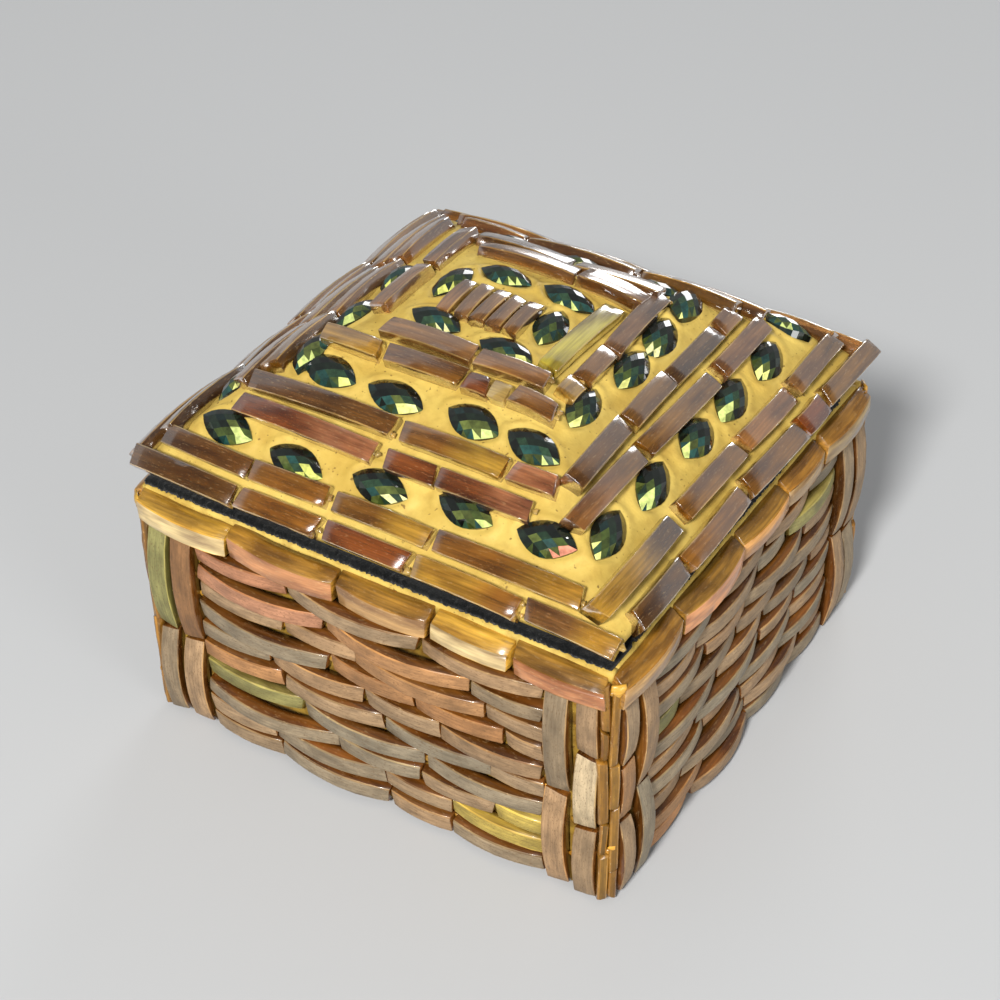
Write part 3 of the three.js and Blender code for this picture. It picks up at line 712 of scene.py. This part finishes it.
RIM_MATERIALS = [RIM_COAT, SIDE_EDGE, SIDE_BODY]
LID_MATERIALS = [LID_TOP, LID_EDGE_MAT, LID_BODY]


# ---- Glass on the sides ----

RIM_SEGMENT = 4.3
RIM_RADIUS = 38
RIM_GAP, COLUMN_GAP, CORNER_GAP = 0.6, 0.7, 0.3
BEAD_SHARE = 0.4
COLUMN_BEADS = 5
CORNER_BEADS = 8
CORNER_BARS = [(-0.8, [9, 6, 12, 5, 8]), (0.6, [5, 11, 7, 13])]


def side_colors(letter):
    """Colours of a segment's coat, edges and body. Yellow and olive glass has no amber in it."""
    coat = varied(COATS[letter])
    if letter in "VY":
        return coat, varied(coat * 1.1), varied(coat * 0.7)
    return coat, varied(coat * 0.7 + AMBER * 0.4), varied(AMBER, 0.35)


def rim_row(side):
    """The wide gold and amber segments under the rim, leaning back to its edge."""
    build = Build()
    letters, lengths = row_of(RIM_ROWS[side])
    half = RUN[side] - 0.3
    middle = (RIM_LOW[2] + RIM_HIGH[2]) / 2
    for letter, (s, run) in zip(letters, laid(lengths, -half, half, RIM_GAP)):
        coat = varied(COATS[letter] * 1.1)
        top = varied(GOLD * 0.8 if letter in "YW" else GOLD * 0.3 + AMBER * 0.6, 0.2)
        size = (run, RIM_SEGMENT, rng.uniform(1.7, 2.0))
        spot = (s, middle + rng.uniform(0.1, 0.35))
        crown = bulge(run, RIM_RADIUS) + 0.1
        slope = rng.uniform(1.2, 1.7)
        colors = (coat, varied(top * 1.6), top * 1.2)
        segment(build, on_side(side), spot, size, crown, colors, 0.12, slope)
    build.piece("glass_rim_" + side, "base", ["rim_row_" + side], "rim_glass", RIM_MATERIALS)


def field(side):
    """The courses of segments between a side's corner columns."""
    build = Build()
    courses = FIELD_COURSES[side]
    low = FIELD_LOW[2]
    pitch = (FIELD_HIGH[2] - low) / len(courses)
    half = RUN[side] - POST_WIDTH + 0.3
    for i, (letters, lengths) in enumerate(map(row_of, courses)):
        for letter, (s, run) in zip(letters, laid(lengths, -half, half)):
            size = (run, pitch * rng.uniform(0.8, 0.9), rng.uniform(0.9, 1.3))
            spot = (s, low + (i + 0.5) * pitch + rng.uniform(-0.12, 0.12))
            crown = bulge(run) * rng.uniform(0.75, 1.0) + 0.15
            colors = side_colors(letter)
            slope = rng.uniform(0.3, 0.7)
            segment(build, on_side(side), spot, size, crown, colors, slope=slope)
            if rng.random() < BEAD_SHARE:
                bead = (s + run / 2 + 0.2, spot[1] + rng.uniform(-1, 1), rng.uniform(0.1, 0.5))
                blob(build, on_side(side), bead, rng.uniform(0.3, 0.6), varied(RESIN * 1.3, 0.3))
    node = "glass_field_" + side
    build.piece("glass_courses_" + side, "base", [node], "side_glass", SIDE_MATERIALS)


def columns(build, side, groups, start):
    """Upright segments in two columns, the first at `start` along the side."""
    low, high = FIELD_LOW[2], FIELD_HIGH[2]
    width = (POST_WIDTH - 0.9) / len(groups)
    for i, (letters, lengths) in enumerate(map(row_of, groups)):
        s = start + (i + 0.5) * width
        for letter, (up, run) in zip(letters, laid(lengths, low, high, COLUMN_GAP)):
            size = (run, width * rng.uniform(0.7, 0.8), rng.uniform(1.0, 1.4))
            crown = min(1.2, bulge(run) * 1.1)
            colors = side_colors(letter)
            segment(build, on_side(side), (s, up), size, crown, colors, upright=True)
        for _ in range(COLUMN_BEADS):
            spot = (s + width / 2 + rng.uniform(-0.3, 0.3), rng.uniform(low, high), 0.3)
            blob(build, on_side(side), spot, rng.uniform(0.3, 0.6), varied(RESIN * 1.6, 0.3))


def post(side, after):
    """The upright segments around the corner from one side to the side after it."""
    build = Build()
    columns(build, side, POST_COLUMNS[side], RUN[side] - POST_WIDTH + 0.4)
    columns(build, after, NEXT_COLUMNS[side], 0.5 - RUN[after])
    low, high = FIELD_LOW[2], WALL_TOP - 1.5
    for shift, lengths in CORNER_BARS:
        for up, run in laid(lengths, low, high, CORNER_GAP):
            corner_bar(build, side, shift, up, run)
    bead = (rng.uniform(0.3, 0.8), WALL_TOP - 1.9, 0.7)
    blob(build, around_corner(side), bead, 1.1, varied(GOLD * 1.2, 0.1))
    for _ in range(CORNER_BEADS):
        spot = (rng.uniform(-0.2, 0.5), rng.uniform(low, high), rng.uniform(0.2, 0.9))
        blob(build, around_corner(side), spot, rng.uniform(0.35, 0.7), varied(RESIN * 1.4, 0.4))
    name = "corner_post_" + side + "_" + after
    build.piece("glass_" + name, "base", [name], "side_glass", SIDE_MATERIALS)


def around_corner(side):
    """From (along, up, out) of the slanting plane at a side's right corner to the row frame."""
    half = RUN[side]
    slant = math.sqrt(0.5)

    def place(p):
        along = half + (p[:, 0] + p[:, 2]) * slant
        out = (p[:, 2] - p[:, 0]) * slant
        return on_side(side)(np.stack([along, p[:, 1], out], 1))

    return place


def corner_bar(build, side, shift, up, length):
    """A narrow upright bar of amber glass and resin at the very corner."""
    color = varied(AMBER * 0.7 + GOLD * 0.25, 0.4)
    size = (length, rng.uniform(1.0, 1.4), rng.uniform(0.6, 1.0))
    middle = (shift + rng.uniform(-0.15, 0.15), up)
    colors = (color * 1.2, varied(color * 1.6), color)
    segment(build, around_corner(side), middle, size, 0.1, colors, 0.3, upright=True)


# ---- The lid's surface ----

SHIFT_FACTOR = {
    "front": 1 + PATTERN_SHIFT[1] / PATTERN,
    "right": 1 - PATTERN_SHIFT[0] / PATTERN,
    "back": 1 - PATTERN_SHIFT[1] / PATTERN,
    "left": 1 + PATTERN_SHIFT[0] / PATTERN,
}
SOFT_HIP = 1.1
SLOPE_STEP = 0.8
LID_RADIUS = 80
CROWN_BAR = (7.2, 2.2)
EDGE_TOP = LID_BOTTOM + LID_EDGE


def dome(x, y):
    """Height of the lid's lac at a point, in millimetres."""
    distances = [
        (y + LID_Y) / SHIFT_FACTOR["front"],
        (LID_X - x) / SHIFT_FACTOR["right"],
        (LID_Y - y) / SHIFT_FACTOR["back"],
        (x + LID_X) / SHIFT_FACTOR["left"],
    ]
    smooth = -SOFT_HIP * np.log(sum(np.exp(-d / SOFT_HIP) for d in distances))
    closeness = np.clip(1 - smooth / DOME_HALF, 0, 1.1)
    full = 1 - (1 - PATTERN / DOME_HALF) ** DOME_POWER
    return EDGE_TOP + (CROWN_TOP - EDGE_TOP) * (1 - closeness**DOME_POWER) / full


def lid_plan(side, s, distance):
    """Plan position of a place s along a side and at a ring distance from its edge."""
    away = LID_REACH[side] - distance * SHIFT_FACTOR[side]
    return (
        ALONG[side][0] * s - INWARD[side][0] * away,
        ALONG[side][1] * s - INWARD[side][1] * away,
    )


def on_lid(x, y, along):
    """From (along, up the slope, out) at a point of the dome to the row frame."""
    step = SLOPE_STEP
    slope_x = (dome(x + step, y) - dome(x - step, y)) / (2 * step)
    slope_y = (dome(x, y + step) - dome(x, y - step)) / (2 * step)
    out = Vector((-slope_x, -slope_y, 1)).normalized()
    first = Vector((along[0], along[1], along[0] * slope_x + along[1] * slope_y)).normalized()
    second = out.cross(first)
    basis = np.array([first, second, out])
    origin = np.array([x, y, float(dome(x, y))])
    return lambda p: np.asarray(p) @ basis + origin


def lid_colors(letter):
    """Colours of a lid segment's top, edges and body."""
    top = varied(LID_GLASS[letter], 0.14)
    pale = top * 0.5 + LID_GLASS["C"] * 0.5
    return top, varied(pale), varied(top * 0.75 + AMBER * 0.1, 0.2)


def graded(letters):
    """Colours along a piece: its letter's own, going over to the second letter's."""
    first = lid_colors(letters[0])
    last = lid_colors(letters[-1])
    turn = rng.uniform(-0.1, 0.3)

    def shade(u):
        share = min(1.0, max(0.0, (u - turn) / 0.5 + 0.3)) if len(letters) > 1 else 0.0
        return [a * (1 - share) + b * share for a, b in zip(first, last)]

    return first, shade


def place_at(side, s, across):
    """Plan position of a place s along a side and `across` millimetres in from its edge."""
    return lid_plan(side, s, across / SHIFT_FACTOR[side])


def chip_band(ring, side):
    """The rows of one ring of glass on one side of the lid."""
    build = Build()
    for across, pieces in LID_ROWS[ring][side]:
        for piece in pieces.split(", "):
            letters, start, end = piece.split()
            start, end = float(start), float(end)
            s, run = (start + end) / 2, end - start
            x, y = place_at(side, s, across + rng.uniform(-0.1, 0.1))
            place = on_lid(x, y, ALONG[side])
            colors, shade = graded(letters)
            size = (run, rng.uniform(2.95, 3.25), rng.uniform(1.35, 1.75))
            arch = 0.1 + bulge(run, LID_RADIUS)
            segment(build, place, (0, 0), size, arch, colors, 0.16, 0.2, shade)
            for _ in range(rng.integers(0, 3)):
                s = run / 2 + rng.uniform(0, 0.5)
                spot = (s, rng.uniform(-1.3, 1.3), rng.uniform(0.4, 1.0))
                blob(build, place, spot, rng.uniform(0.3, 0.55), varied(LID_GLASS["C"], 0.2))
    name = "lid_chips_" + ring + "_" + side
    build.piece("glass_" + name, "lid", [name], "lid_glass", LID_MATERIALS)


# ---- Stones ----

# Stone facets turned most towards this fixed direction get a painted glint, the next ones painted
# lit greens; the rest keep the stone's own dark glass colours
PAINTED_GLINT_DIRECTION = Vector((0.42, -0.72, 0.55)).normalized()
DARKS = [linear(20, 30, 22), linear(32, 46, 34), linear(14, 20, 14), linear(20, 40, 38)]
PAINTED_LIT_GREENS = [linear(66, 80, 34), linear(88, 98, 46), linear(42, 66, 46), linear(34, 72, 66)]
PAINTED_GLINTS = [
    linear(234, 236, 140),
    linear(222, 226, 116),
    linear(240, 238, 168),
    linear(208, 222, 132),
]
PAINTED_PINK_GLINT = linear(232, 150, 122)
PINK_GLINT_STONE = ("outer", "front", 4)
STONE_RISE = 1.5
STONE_GIRDLE = 0.18
FACETS = 4
LATTICE_REACH = 0.86
TIP_POWER = 0.95
OUTLINE_POINTS = 28
OUTLINE_DROP = 0.12
FLAT_ANGLE = math.radians(1.5)
PAINTED_GLINT_LIMIT = 5
PAINTED_LIT_COUNT = 14


def cut_stone():
    """Points and faces of a navette of unit half length and half width.

    A lattice of points on a domed lens makes a chequer of flat diamonds, because the
    lattice has the same proportions as the lens.
    """

    def rise(u, v):
        return STONE_GIRDLE + (STONE_RISE - STONE_GIRDLE) * (1 - u * u - v * v)

    lattice = []
    for i in range(-FACETS, FACETS + 1):
        for j in range(-FACETS, FACETS + 1):
            u, v = i / FACETS, j / FACETS
            if (i + j) % 2 and abs(v) < LATTICE_REACH * (1 - u * u) ** TIP_POWER:
                lattice.append((u, v, rise(u, v)))
    outline = []
    for k in range(OUTLINE_POINTS):
        angle = math.tau * k / OUTLINE_POINTS
        u = math.cos(angle)
        tip = k % (OUTLINE_POINTS // 2) == 0
        v = 0.0 if tip else math.copysign((1 - u * u) ** TIP_POWER, math.sin(angle))
        outline.append((u, v, max(STONE_GIRDLE, rise(u, v) - OUTLINE_DROP)))
    work = bmesh.new()
    for point in lattice + outline + [(u, v, -SINK) for u, v, _ in outline]:
        work.verts.new(point)
    bmesh.ops.convex_hull(work, input=work.verts[:], use_existing_faces=False)
    bmesh.ops.dissolve_limit(
        work, angle_limit=FLAT_ANGLE, verts=work.verts[:], edges=work.edges[:]
    )
    loose = [vert for vert in work.verts if not vert.link_faces]
    bmesh.ops.delete(work, geom=loose, context="VERTS")
    work.verts.index_update()
    points = np.array([vert.co[:] for vert in work.verts])
    faces = [[vert.index for vert in face.verts] for face in work.faces]
    work.free()
    return points, faces


UNIT_STONE, STONE_FACES = cut_stone()


def stone(build, place, turn=0.0, length=STONE_LENGTH, width=STONE_WIDTH, painted_glint=None):
    """A domed navette with a chequered cut. Its facets that face one fixed direction get a painted
    glint and painted lit greens.
    """
    points = UNIT_STONE * np.array([length / 2, width / 2, 1])
    cos, sin = math.cos(turn), math.sin(turn)
    points[:, :2] = points[:, :2] @ np.array([[cos, sin], [-sin, cos]])
    world = place(points)
    glint_facing = []
    for face in STONE_FACES:
        a, b, c = (Vector(world[i]) for i in face[:3])
        up = (b - a).cross(c - a).normalized()
        glint_facing.append(up.dot(PAINTED_GLINT_DIRECTION) + rng.uniform(0, 0.1))
    heights = [min(points[j][2] for j in face) for face in STONE_FACES]
    upper = [i for i, height in enumerate(heights) if height > STONE_GIRDLE / 2]
    ranked = sorted(upper, key=lambda i: glint_facing[i])
    # The facets that face the fixed direction most get a painted glint colour, the next ones
    # painted lit greens
    painted_glint_facets = ranked[-rng.integers(2, PAINTED_GLINT_LIMIT) :]
    painted_lit_facets = ranked[-PAINTED_LIT_COUNT:]
    painted_glint = PAINTED_GLINTS[rng.integers(len(PAINTED_GLINTS))] if painted_glint is None else painted_glint
    tints = []
    for i in range(len(STONE_FACES)):
        if i in painted_glint_facets:
            tints.append(painted_glint * rng.uniform(0.8, 1.0))
        elif i in painted_lit_facets:
            tints.append(PAINTED_LIT_GREENS[rng.integers(len(PAINTED_LIT_GREENS))] * rng.uniform(0.5, 1.2))
        else:
            tints.append(DARKS[rng.integers(len(DARKS))] * rng.uniform(0.4, 1.1))
    grain = points + rng.uniform(0, GRAIN_RANGE, 3)
    build.add(world, STONE_FACES, [0] * len(STONE_FACES), tints, grain)


def stone_place(ring, side, s, shift):
    """Plan position of a stone, `shift` millimetres in from the middle of its band."""
    low, high = STONE_BANDS[ring]
    middle = (RING_DISTANCES[low] + RING_DISTANCES[high]) / 2
    return place_at(side, s, middle * SHIFT_FACTOR[side] + shift)


def stone_band(ring, side):
    """The stones of one ring on one side of the lid."""
    build = Build()
    for number, (s, shift, turn) in enumerate(STONES[ring][side]):
        x, y = stone_place(ring, side, s, shift)
        # This one stone gets a pink painted glint on its facets that face the fixed direction
        pink = PAINTED_PINK_GLINT if (ring, side, number) == PINK_GLINT_STONE else None
        length = STONE_LENGTH * rng.uniform(0.9, 1.0)
        width = STONE_WIDTH * rng.uniform(0.95, 1.06)
        stone(build, on_lid(x, y, ALONG[side]), math.radians(turn), length, width, pink)
    name = "lid_stones_" + ring + "_" + side
    build.piece("set_" + name, "lid", [name], "stone", [STONE], smooth=False)


def crown():
    """The stones and short bars in the middle of the lid."""
    stones = Build()
    for x, y, turn in CROWN_STONES:
        stone(stones, on_lid(x, y, (1, 0)), math.radians(turn), STONE_LENGTH * 0.9)
    stones.piece("set_crown_stones", "lid", ["crown_stones"], "stone", [STONE], smooth=False)
    bars = Build()
    for letter, x in CROWN_BARS:
        size = (*CROWN_BAR, rng.uniform(1.1, 1.5))
        segment(bars, on_lid(x, CROWN_BAR_Y, (0, 1)), (0, 0), size, 0.25, lid_colors(letter), 0.2)
    bars.piece("glass_crown_bars", "lid", ["crown_bars"], "lid_glass", LID_MATERIALS)


# ---- Lac ----

SAME_POINT_M = 2e-6
LID_GRID = (180, 178)
SIDE_GRID = (90, 52)
LIP = 1.3
COLLAR_RISE = 0.32
COLLAR_REACH = 1.04
COLLAR_WIDTH = 0.13


def tidy_mesh(piece):
    """No doubled points, no faces without area, and every face turned outwards."""
    work = bmesh.new()
    work.from_mesh(piece.data)
    bmesh.ops.remove_doubles(work, verts=work.verts, dist=SAME_POINT_M)
    bmesh.ops.dissolve_degenerate(work, edges=work.edges, dist=SAME_POINT_M)
    bmesh.ops.recalc_face_normals(work, faces=work.faces)
    work.to_mesh(piece.data)
    work.free()


def grid(rows, columns):
    """Faces of a grid of points, and the points of its border in order."""
    faces = []
    for j in range(rows - 1):
        for i in range(columns - 1):
            a = j * columns + i
            faces.append([a, a + 1, a + 1 + columns, a + columns])
    border = list(range(columns))
    border += [j * columns + columns - 1 for j in range(1, rows)]
    border += [(rows - 1) * columns + i for i in range(columns - 2, -1, -1)]
    border += [j * columns for j in range(rows - 2, 0, -1)]
    return faces, border[::-1]


def lac_piece(name, body, node, material, shape, points, local):
    """Lac from a grid of points, closed at its border by one flat face."""
    faces, border = grid(*shape)
    faces.append(border)
    build = Build()
    build.add(points, faces, [0] * len(faces), [GOLD] * len(faces), local)
    tidy_mesh(build.piece(name, body, [node], "lac", [material]))


def lid_lac():
    """Lac over the dome: a little lumpy, drawn up around the stones, rounded at the edge."""
    columns, rows = LID_GRID
    x, y = np.meshgrid(np.linspace(-LID_X, LID_X, columns), np.linspace(-LID_Y, LID_Y, rows))
    z = dome(x, y) + 0.07 * waves(x, y, 6, 1) + 0.03 * waves(x, y, 2.2, 2)
    for ring in STONE_BANDS:
        for side in SIDES:
            for s, shift, turn in STONES[ring][side]:
                cx, cy = stone_place(ring, side, s, shift)
                z = z + stone_collar(x, y, cx, cy, TURNS[side] + math.radians(turn))
    for cx, cy, turn in CROWN_STONES:
        z = z + stone_collar(x, y, cx, cy, math.radians(turn))
    # The border goes over the edge in three more rings, the last one hidden in the wood
    hidden = (EDGE_TOP + LID_BOTTOM) / 2
    drops = [(LID_BOTTOM + 0.3, 1.2), (LID_BOTTOM + 0.1, 0.05), (hidden, -0.15)]
    x, y, z = (np.pad(values, len(drops), mode="edge") for values in (x, y, z))
    for k, (height, inset) in enumerate(drops):
        last_j, last_i = (size - 1 - k for size in z.shape)
        ring = np.zeros(z.shape, bool)
        ring[k, k : last_i + 1] = ring[last_j, k : last_i + 1] = True
        ring[k : last_j + 1, k] = ring[k : last_j + 1, last_i] = True
        x[ring] = np.clip(x[ring] * 1.001, inset - LID_X, LID_X - inset)
        y[ring] = np.clip(y[ring] * 1.001, inset - LID_Y, LID_Y - inset)
        x[k : last_j + 1, k], x[k : last_j + 1, last_i] = inset - LID_X, LID_X - inset
        y[k, k : last_i + 1], y[last_j, k : last_i + 1] = inset - LID_Y, LID_Y - inset
        z[ring] = height
    points = np.stack([x.ravel(), y.ravel(), z.ravel()], 1)
    lac_piece("lac_on_lid", "lid", "lid_lac", LAC_LID, z.shape, points, points)


def stone_collar(x, y, cx, cy, turn):
    """Lac pushed up around a stone."""
    u = (x - cx) * math.cos(turn) + (y - cy) * math.sin(turn)
    v = (y - cy) * math.cos(turn) - (x - cx) * math.sin(turn)
    reach = np.sqrt((u / (STONE_LENGTH / 2)) ** 2 + (v / (STONE_WIDTH / 2)) ** 2)
    return COLLAR_RISE * np.exp(-(((reach - COLLAR_REACH) / COLLAR_WIDTH) ** 2))


def side_lac(side):
    """Lac on one wall: an uneven face, with a rounded lip along the top."""
    half = RUN[side] if side in ("front", "back") else RUN[side] - LAC
    columns, rows = SIDE_GRID
    s = np.linspace(-half, half, columns)
    t = np.linspace(FOOT, WALL_TOP, rows)
    grid_s, grid_t = np.meshgrid(s, t)
    out = 0.1 * waves(grid_s, grid_t, 4, 5 + SIDES.index(side)) - 0.1
    lip = np.clip((grid_t - (WALL_TOP - LIP)) / LIP, 0, 1)
    out = out * (1 - lip) - 0.12 * lip**5 + 0.02 * lip
    grid_t = grid_t + np.where(lip > 0.9, 0.06 * waves(grid_s, grid_s, 6, 9), 0)
    grid_s, grid_t, out = (np.pad(a, 1, mode="edge") for a in (grid_s, grid_t, out))
    out[[0, -1], :] = out[:, [0, -1]] = 0.1 - LAC
    local = np.stack([grid_s.ravel(), grid_t.ravel(), out.ravel()], 1)
    points = on_side(side)(local)
    node = "base_lac_" + side
    lac_piece("lac_" + side, "base", node, LAC_SIDE, out.shape, points, local)


# ---- Cloth ----


CLOTH_STEP = 0.7
CLOTH_ROUNDING = 0.5
TUCK = 0.45
PILE = 0.9
PILE_STATIONS = 260


def cloth_piece(name, node, body, material, points, faces):
    """The finished object of a cloth panel."""
    mesh = bpy.data.meshes.new(name)
    mesh.from_pydata([tuple(point) for point in points * MM], [], faces)
    mesh.materials.append(material)
    mesh.polygons.foreach_set("use_smooth", [True] * len(faces))
    tidy_mesh(show(bpy.data.objects.new(name, mesh), body, [node]))


def slab_of_cloth(name, node, body, material, rough_mm, puff, tuck=0.0):
    """A thin cloth-covered panel with soft edges, in the box of its CAD node. It goes `tuck`
    further down, into the corner that it meets."""
    low, high = span(node)
    low[2] -= tuck
    size = [b - a for a, b in zip(low, high)]
    thin = size.index(min(size))
    first, second = [k for k in range(3) if k != thin]
    counts = [max(4, int(size[k] / CLOTH_STEP)) for k in (first, second)]
    u = np.linspace(low[first], high[first], counts[0])
    v = np.linspace(low[second], high[second], counts[1])
    grid_u, grid_v = np.meshgrid(u, v)
    edge = np.minimum.reduce([grid_u - u[0], u[-1] - grid_u, grid_v - v[0], v[-1] - grid_v])
    round_off = np.clip(edge / CLOTH_ROUNDING, 0, 1)
    thick = size[thin] / 2
    lift = thick * np.sqrt(1 - (1 - round_off) ** 2)
    lift = lift + puff * waves(grid_u, grid_v, 11, 21) * round_off
    nap = rough_mm * (rng.random(grid_u.shape) - 0.5)
    middle = (low[thin] + high[thin]) / 2
    points = []
    for hand in (1, -1):
        axes = [None, None, None]
        axes[first], axes[second] = grid_u.ravel(), grid_v.ravel()
        axes[thin] = (middle + hand * (np.minimum(lift, thick * 1.3) + nap)).ravel()
        points.append(np.stack(axes, 1))
    sheet, border = grid(len(v), len(u))
    count = len(points[0])
    faces = sheet + [[count + i for i in face[::-1]] for face in sheet]
    faces += [[a, b, count + b, count + a] for a, b in zip(border, border[1:] + border[:1])]
    cloth_piece(name, node, body, material, np.concatenate(points), faces)


def rim_lining(side):
    """Velvet panel that climbs the inside of a wall and folds out over its rim."""
    node = "lining_" + side
    low, high = span(node)
    rim_top = high[2]
    base = rim_top - PILE
    reach = REACH[side]
    if side == "front":
        outer, inner = -reach - low[1], -reach - high[1]
        start, end = low[0], high[0]
    elif side == "right":
        outer, inner = high[0] - reach, low[0] - reach
        start, end = low[1], high[1]
    else:
        outer, inner = -low[0] - reach, -high[0] - reach
        start, end = -high[1], -low[1]
    # The front panel stands between the side walls, and its fold runs over them
    inset = high[0] - span("lining_back")[1][0] if side == "front" else 0.0
    foot = low[2] - TUCK
    profile = [(foot, inner + PILE), (foot, inner)]
    profile += [(z, inner) for z in np.linspace(low[2] + 1, base - 0.5, 22)]
    profile += [(base + 0.1, inner + 0.02), (rim_top - 0.25, inner + 0.12)]
    profile += [(rim_top, inner + 0.5)]
    profile += [(rim_top, out) for out in np.linspace(inner + 1, outer - 0.5, 7)]
    profile += [(rim_top - 0.08, outer - 0.18), (rim_top - 0.3, outer)]
    profile += [(base + 0.2, outer), (base, outer - 0.15)]
    profile += [(base, inner + PILE + 0.1), (base - 0.6, inner + PILE)]
    up, out = np.array(profile).T
    over = np.clip((up - base + 0.3) / 0.3, 0, 1)
    left = (start + inset) * (1 - over) + start * over
    right = (end - inset) * (1 - over) + end * over
    outside = np.clip(out - outer + 1.2, 0, 1)[:, None]
    points = []
    for share in np.linspace(0, 1, PILE_STATIONS):
        nap = (0.08 + 0.26 * outside) * (rng.random((len(profile), 2)) - 0.5)
        points.append(np.stack([left + (right - left) * share, up + nap[:, 0], out + nap[:, 1]], 1))
    world = on_side(side)(np.concatenate(points))
    faces = tube(PILE_STATIONS, len(profile))
    cloth_piece("velvet_" + side, node, "base", VELVET, world, faces)


# ---- Assembly ----

for side in SIDES:
    rim_row(side)
    field(side)
    side_lac(side)
for number, side in enumerate(SIDES):
    post(side, SIDES[(number + 1) % 4])
for ring in LID_ROWS:
    for side in SIDES:
        chip_band(ring, side)
for ring in STONE_BANDS:
    for side in SIDES:
        stone_band(ring, side)
crown()
lid_lac()
for side in ("front", "right", "left"):
    rim_lining(side)
slab_of_cloth("velvet_back", "lining_back", "base", VELVET, 0.06, 0.0, TUCK)
slab_of_cloth("velvet_floor", "lining_floor", "base", VELVET, 0.06, 0.05)
slab_of_cloth("velvet_lid", "lid_lining", "lid", VELVET, 0.06, 0.05)
slab_of_cloth("felt_base", "base_felt_pad", "base", FELT, 0.08, 0.0)

CAD_LOOKS = {"base_wall": WOOD, "base_bottom": WOOD, "lid_core": WOOD, "hinge": STEEL}
for name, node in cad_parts.items():
    for start, material in CAD_LOOKS.items():
        if name.startswith(start):
            node.data.materials.clear()
            node.data.materials.append(material)

# ---- Stage, light and camera ----

CAMERA_PLACE_M = Vector((0.1293, -0.2073, 0.2204))
CAMERA_AZIMUTH = math.radians(32.37)
CAMERA_ELEVATION = math.radians(38.23)
CAMERA_ROLL = math.radians(-0.82)
CAMERA_LENS = 78.9
FLOOR_HALF_M = 3.0
LIGHT_TARGET_M = Vector((0, 0, 0.03))
WORLD_STRENGTH = 0.3


def floor():
    """The plain pale floor, on which the box stands."""
    size = FLOOR_HALF_M
    corners = [(-size, -size, 0), (size, -size, 0), (size, size, 0), (-size, size, 0)]
    mesh = bpy.data.meshes.new("floor")
    mesh.from_pydata(corners, [], [[0, 1, 2, 3]])
    ground = bpy.data.objects.new("floor", mesh)
    shader = Shader("floor", Roughness=0.9, Specular_IOR_Level=0.1)
    shader.main.inputs["Base Color"].default_value = (0.52, 0.53, 0.54, 1)
    mesh.materials.append(shader.material)
    link_to_scene(ground)


def area(name, place, size, watts, color=(1, 1, 1)):
    """A round soft light, at a place in metres, that points at the box."""
    data = bpy.data.lights.new(name, "AREA")
    data.shape = "DISK"
    data.size = size
    data.energy = watts
    data.color = color
    light = bpy.data.objects.new(name, data)
    light.location = place
    aim = LIGHT_TARGET_M - Vector(place)
    light.rotation_euler = aim.to_track_quat("-Z", "Y").to_euler()
    link_to_scene(light)


def camera():
    """The photograph's view: where the camera stands, and the three angles of its turn."""
    back = Vector((
        math.sin(CAMERA_AZIMUTH) * math.cos(CAMERA_ELEVATION),
        -math.cos(CAMERA_AZIMUTH) * math.cos(CAMERA_ELEVATION),
        math.sin(CAMERA_ELEVATION),
    ))
    right = Vector((math.cos(CAMERA_AZIMUTH), math.sin(CAMERA_AZIMUTH), 0))
    up = back.cross(right)
    cos, sin = math.cos(CAMERA_ROLL), math.sin(CAMERA_ROLL)
    rolled_right = right * cos + up * sin
    rolled_up = up * cos - right * sin
    turn = Matrix((rolled_right, rolled_up, back)).transposed().to_4x4()
    data = bpy.data.cameras.new("camera")
    data.lens = CAMERA_LENS
    data.clip_start = 0.01
    eye = bpy.data.objects.new("camera", data)
    eye.matrix_world = Matrix.Translation(CAMERA_PLACE_M) @ turn
    link_to_scene(eye)
    bpy.context.scene.camera = eye


floor()
area("key", (0.22, -0.98, 0.86), 0.24, 21.5, (1.0, 0.985, 0.96))
area("fill", (0.85, -0.3, 0.2), 0.4, 3.0, (1.0, 0.99, 0.97))
area("behind", (-0.3, 1.2, 0.36), 0.6, 5.5)
world = bpy.data.worlds.new("world")
world.use_nodes = True
sky = world.node_tree.nodes["Background"]
sky.inputs["Color"].default_value = (0.86, 0.87, 0.88, 1)
sky.inputs["Strength"].default_value = WORLD_STRENGTH
bpy.context.scene.world = world
bpy.context.scene.view_settings.view_transform = "Standard"
camera()
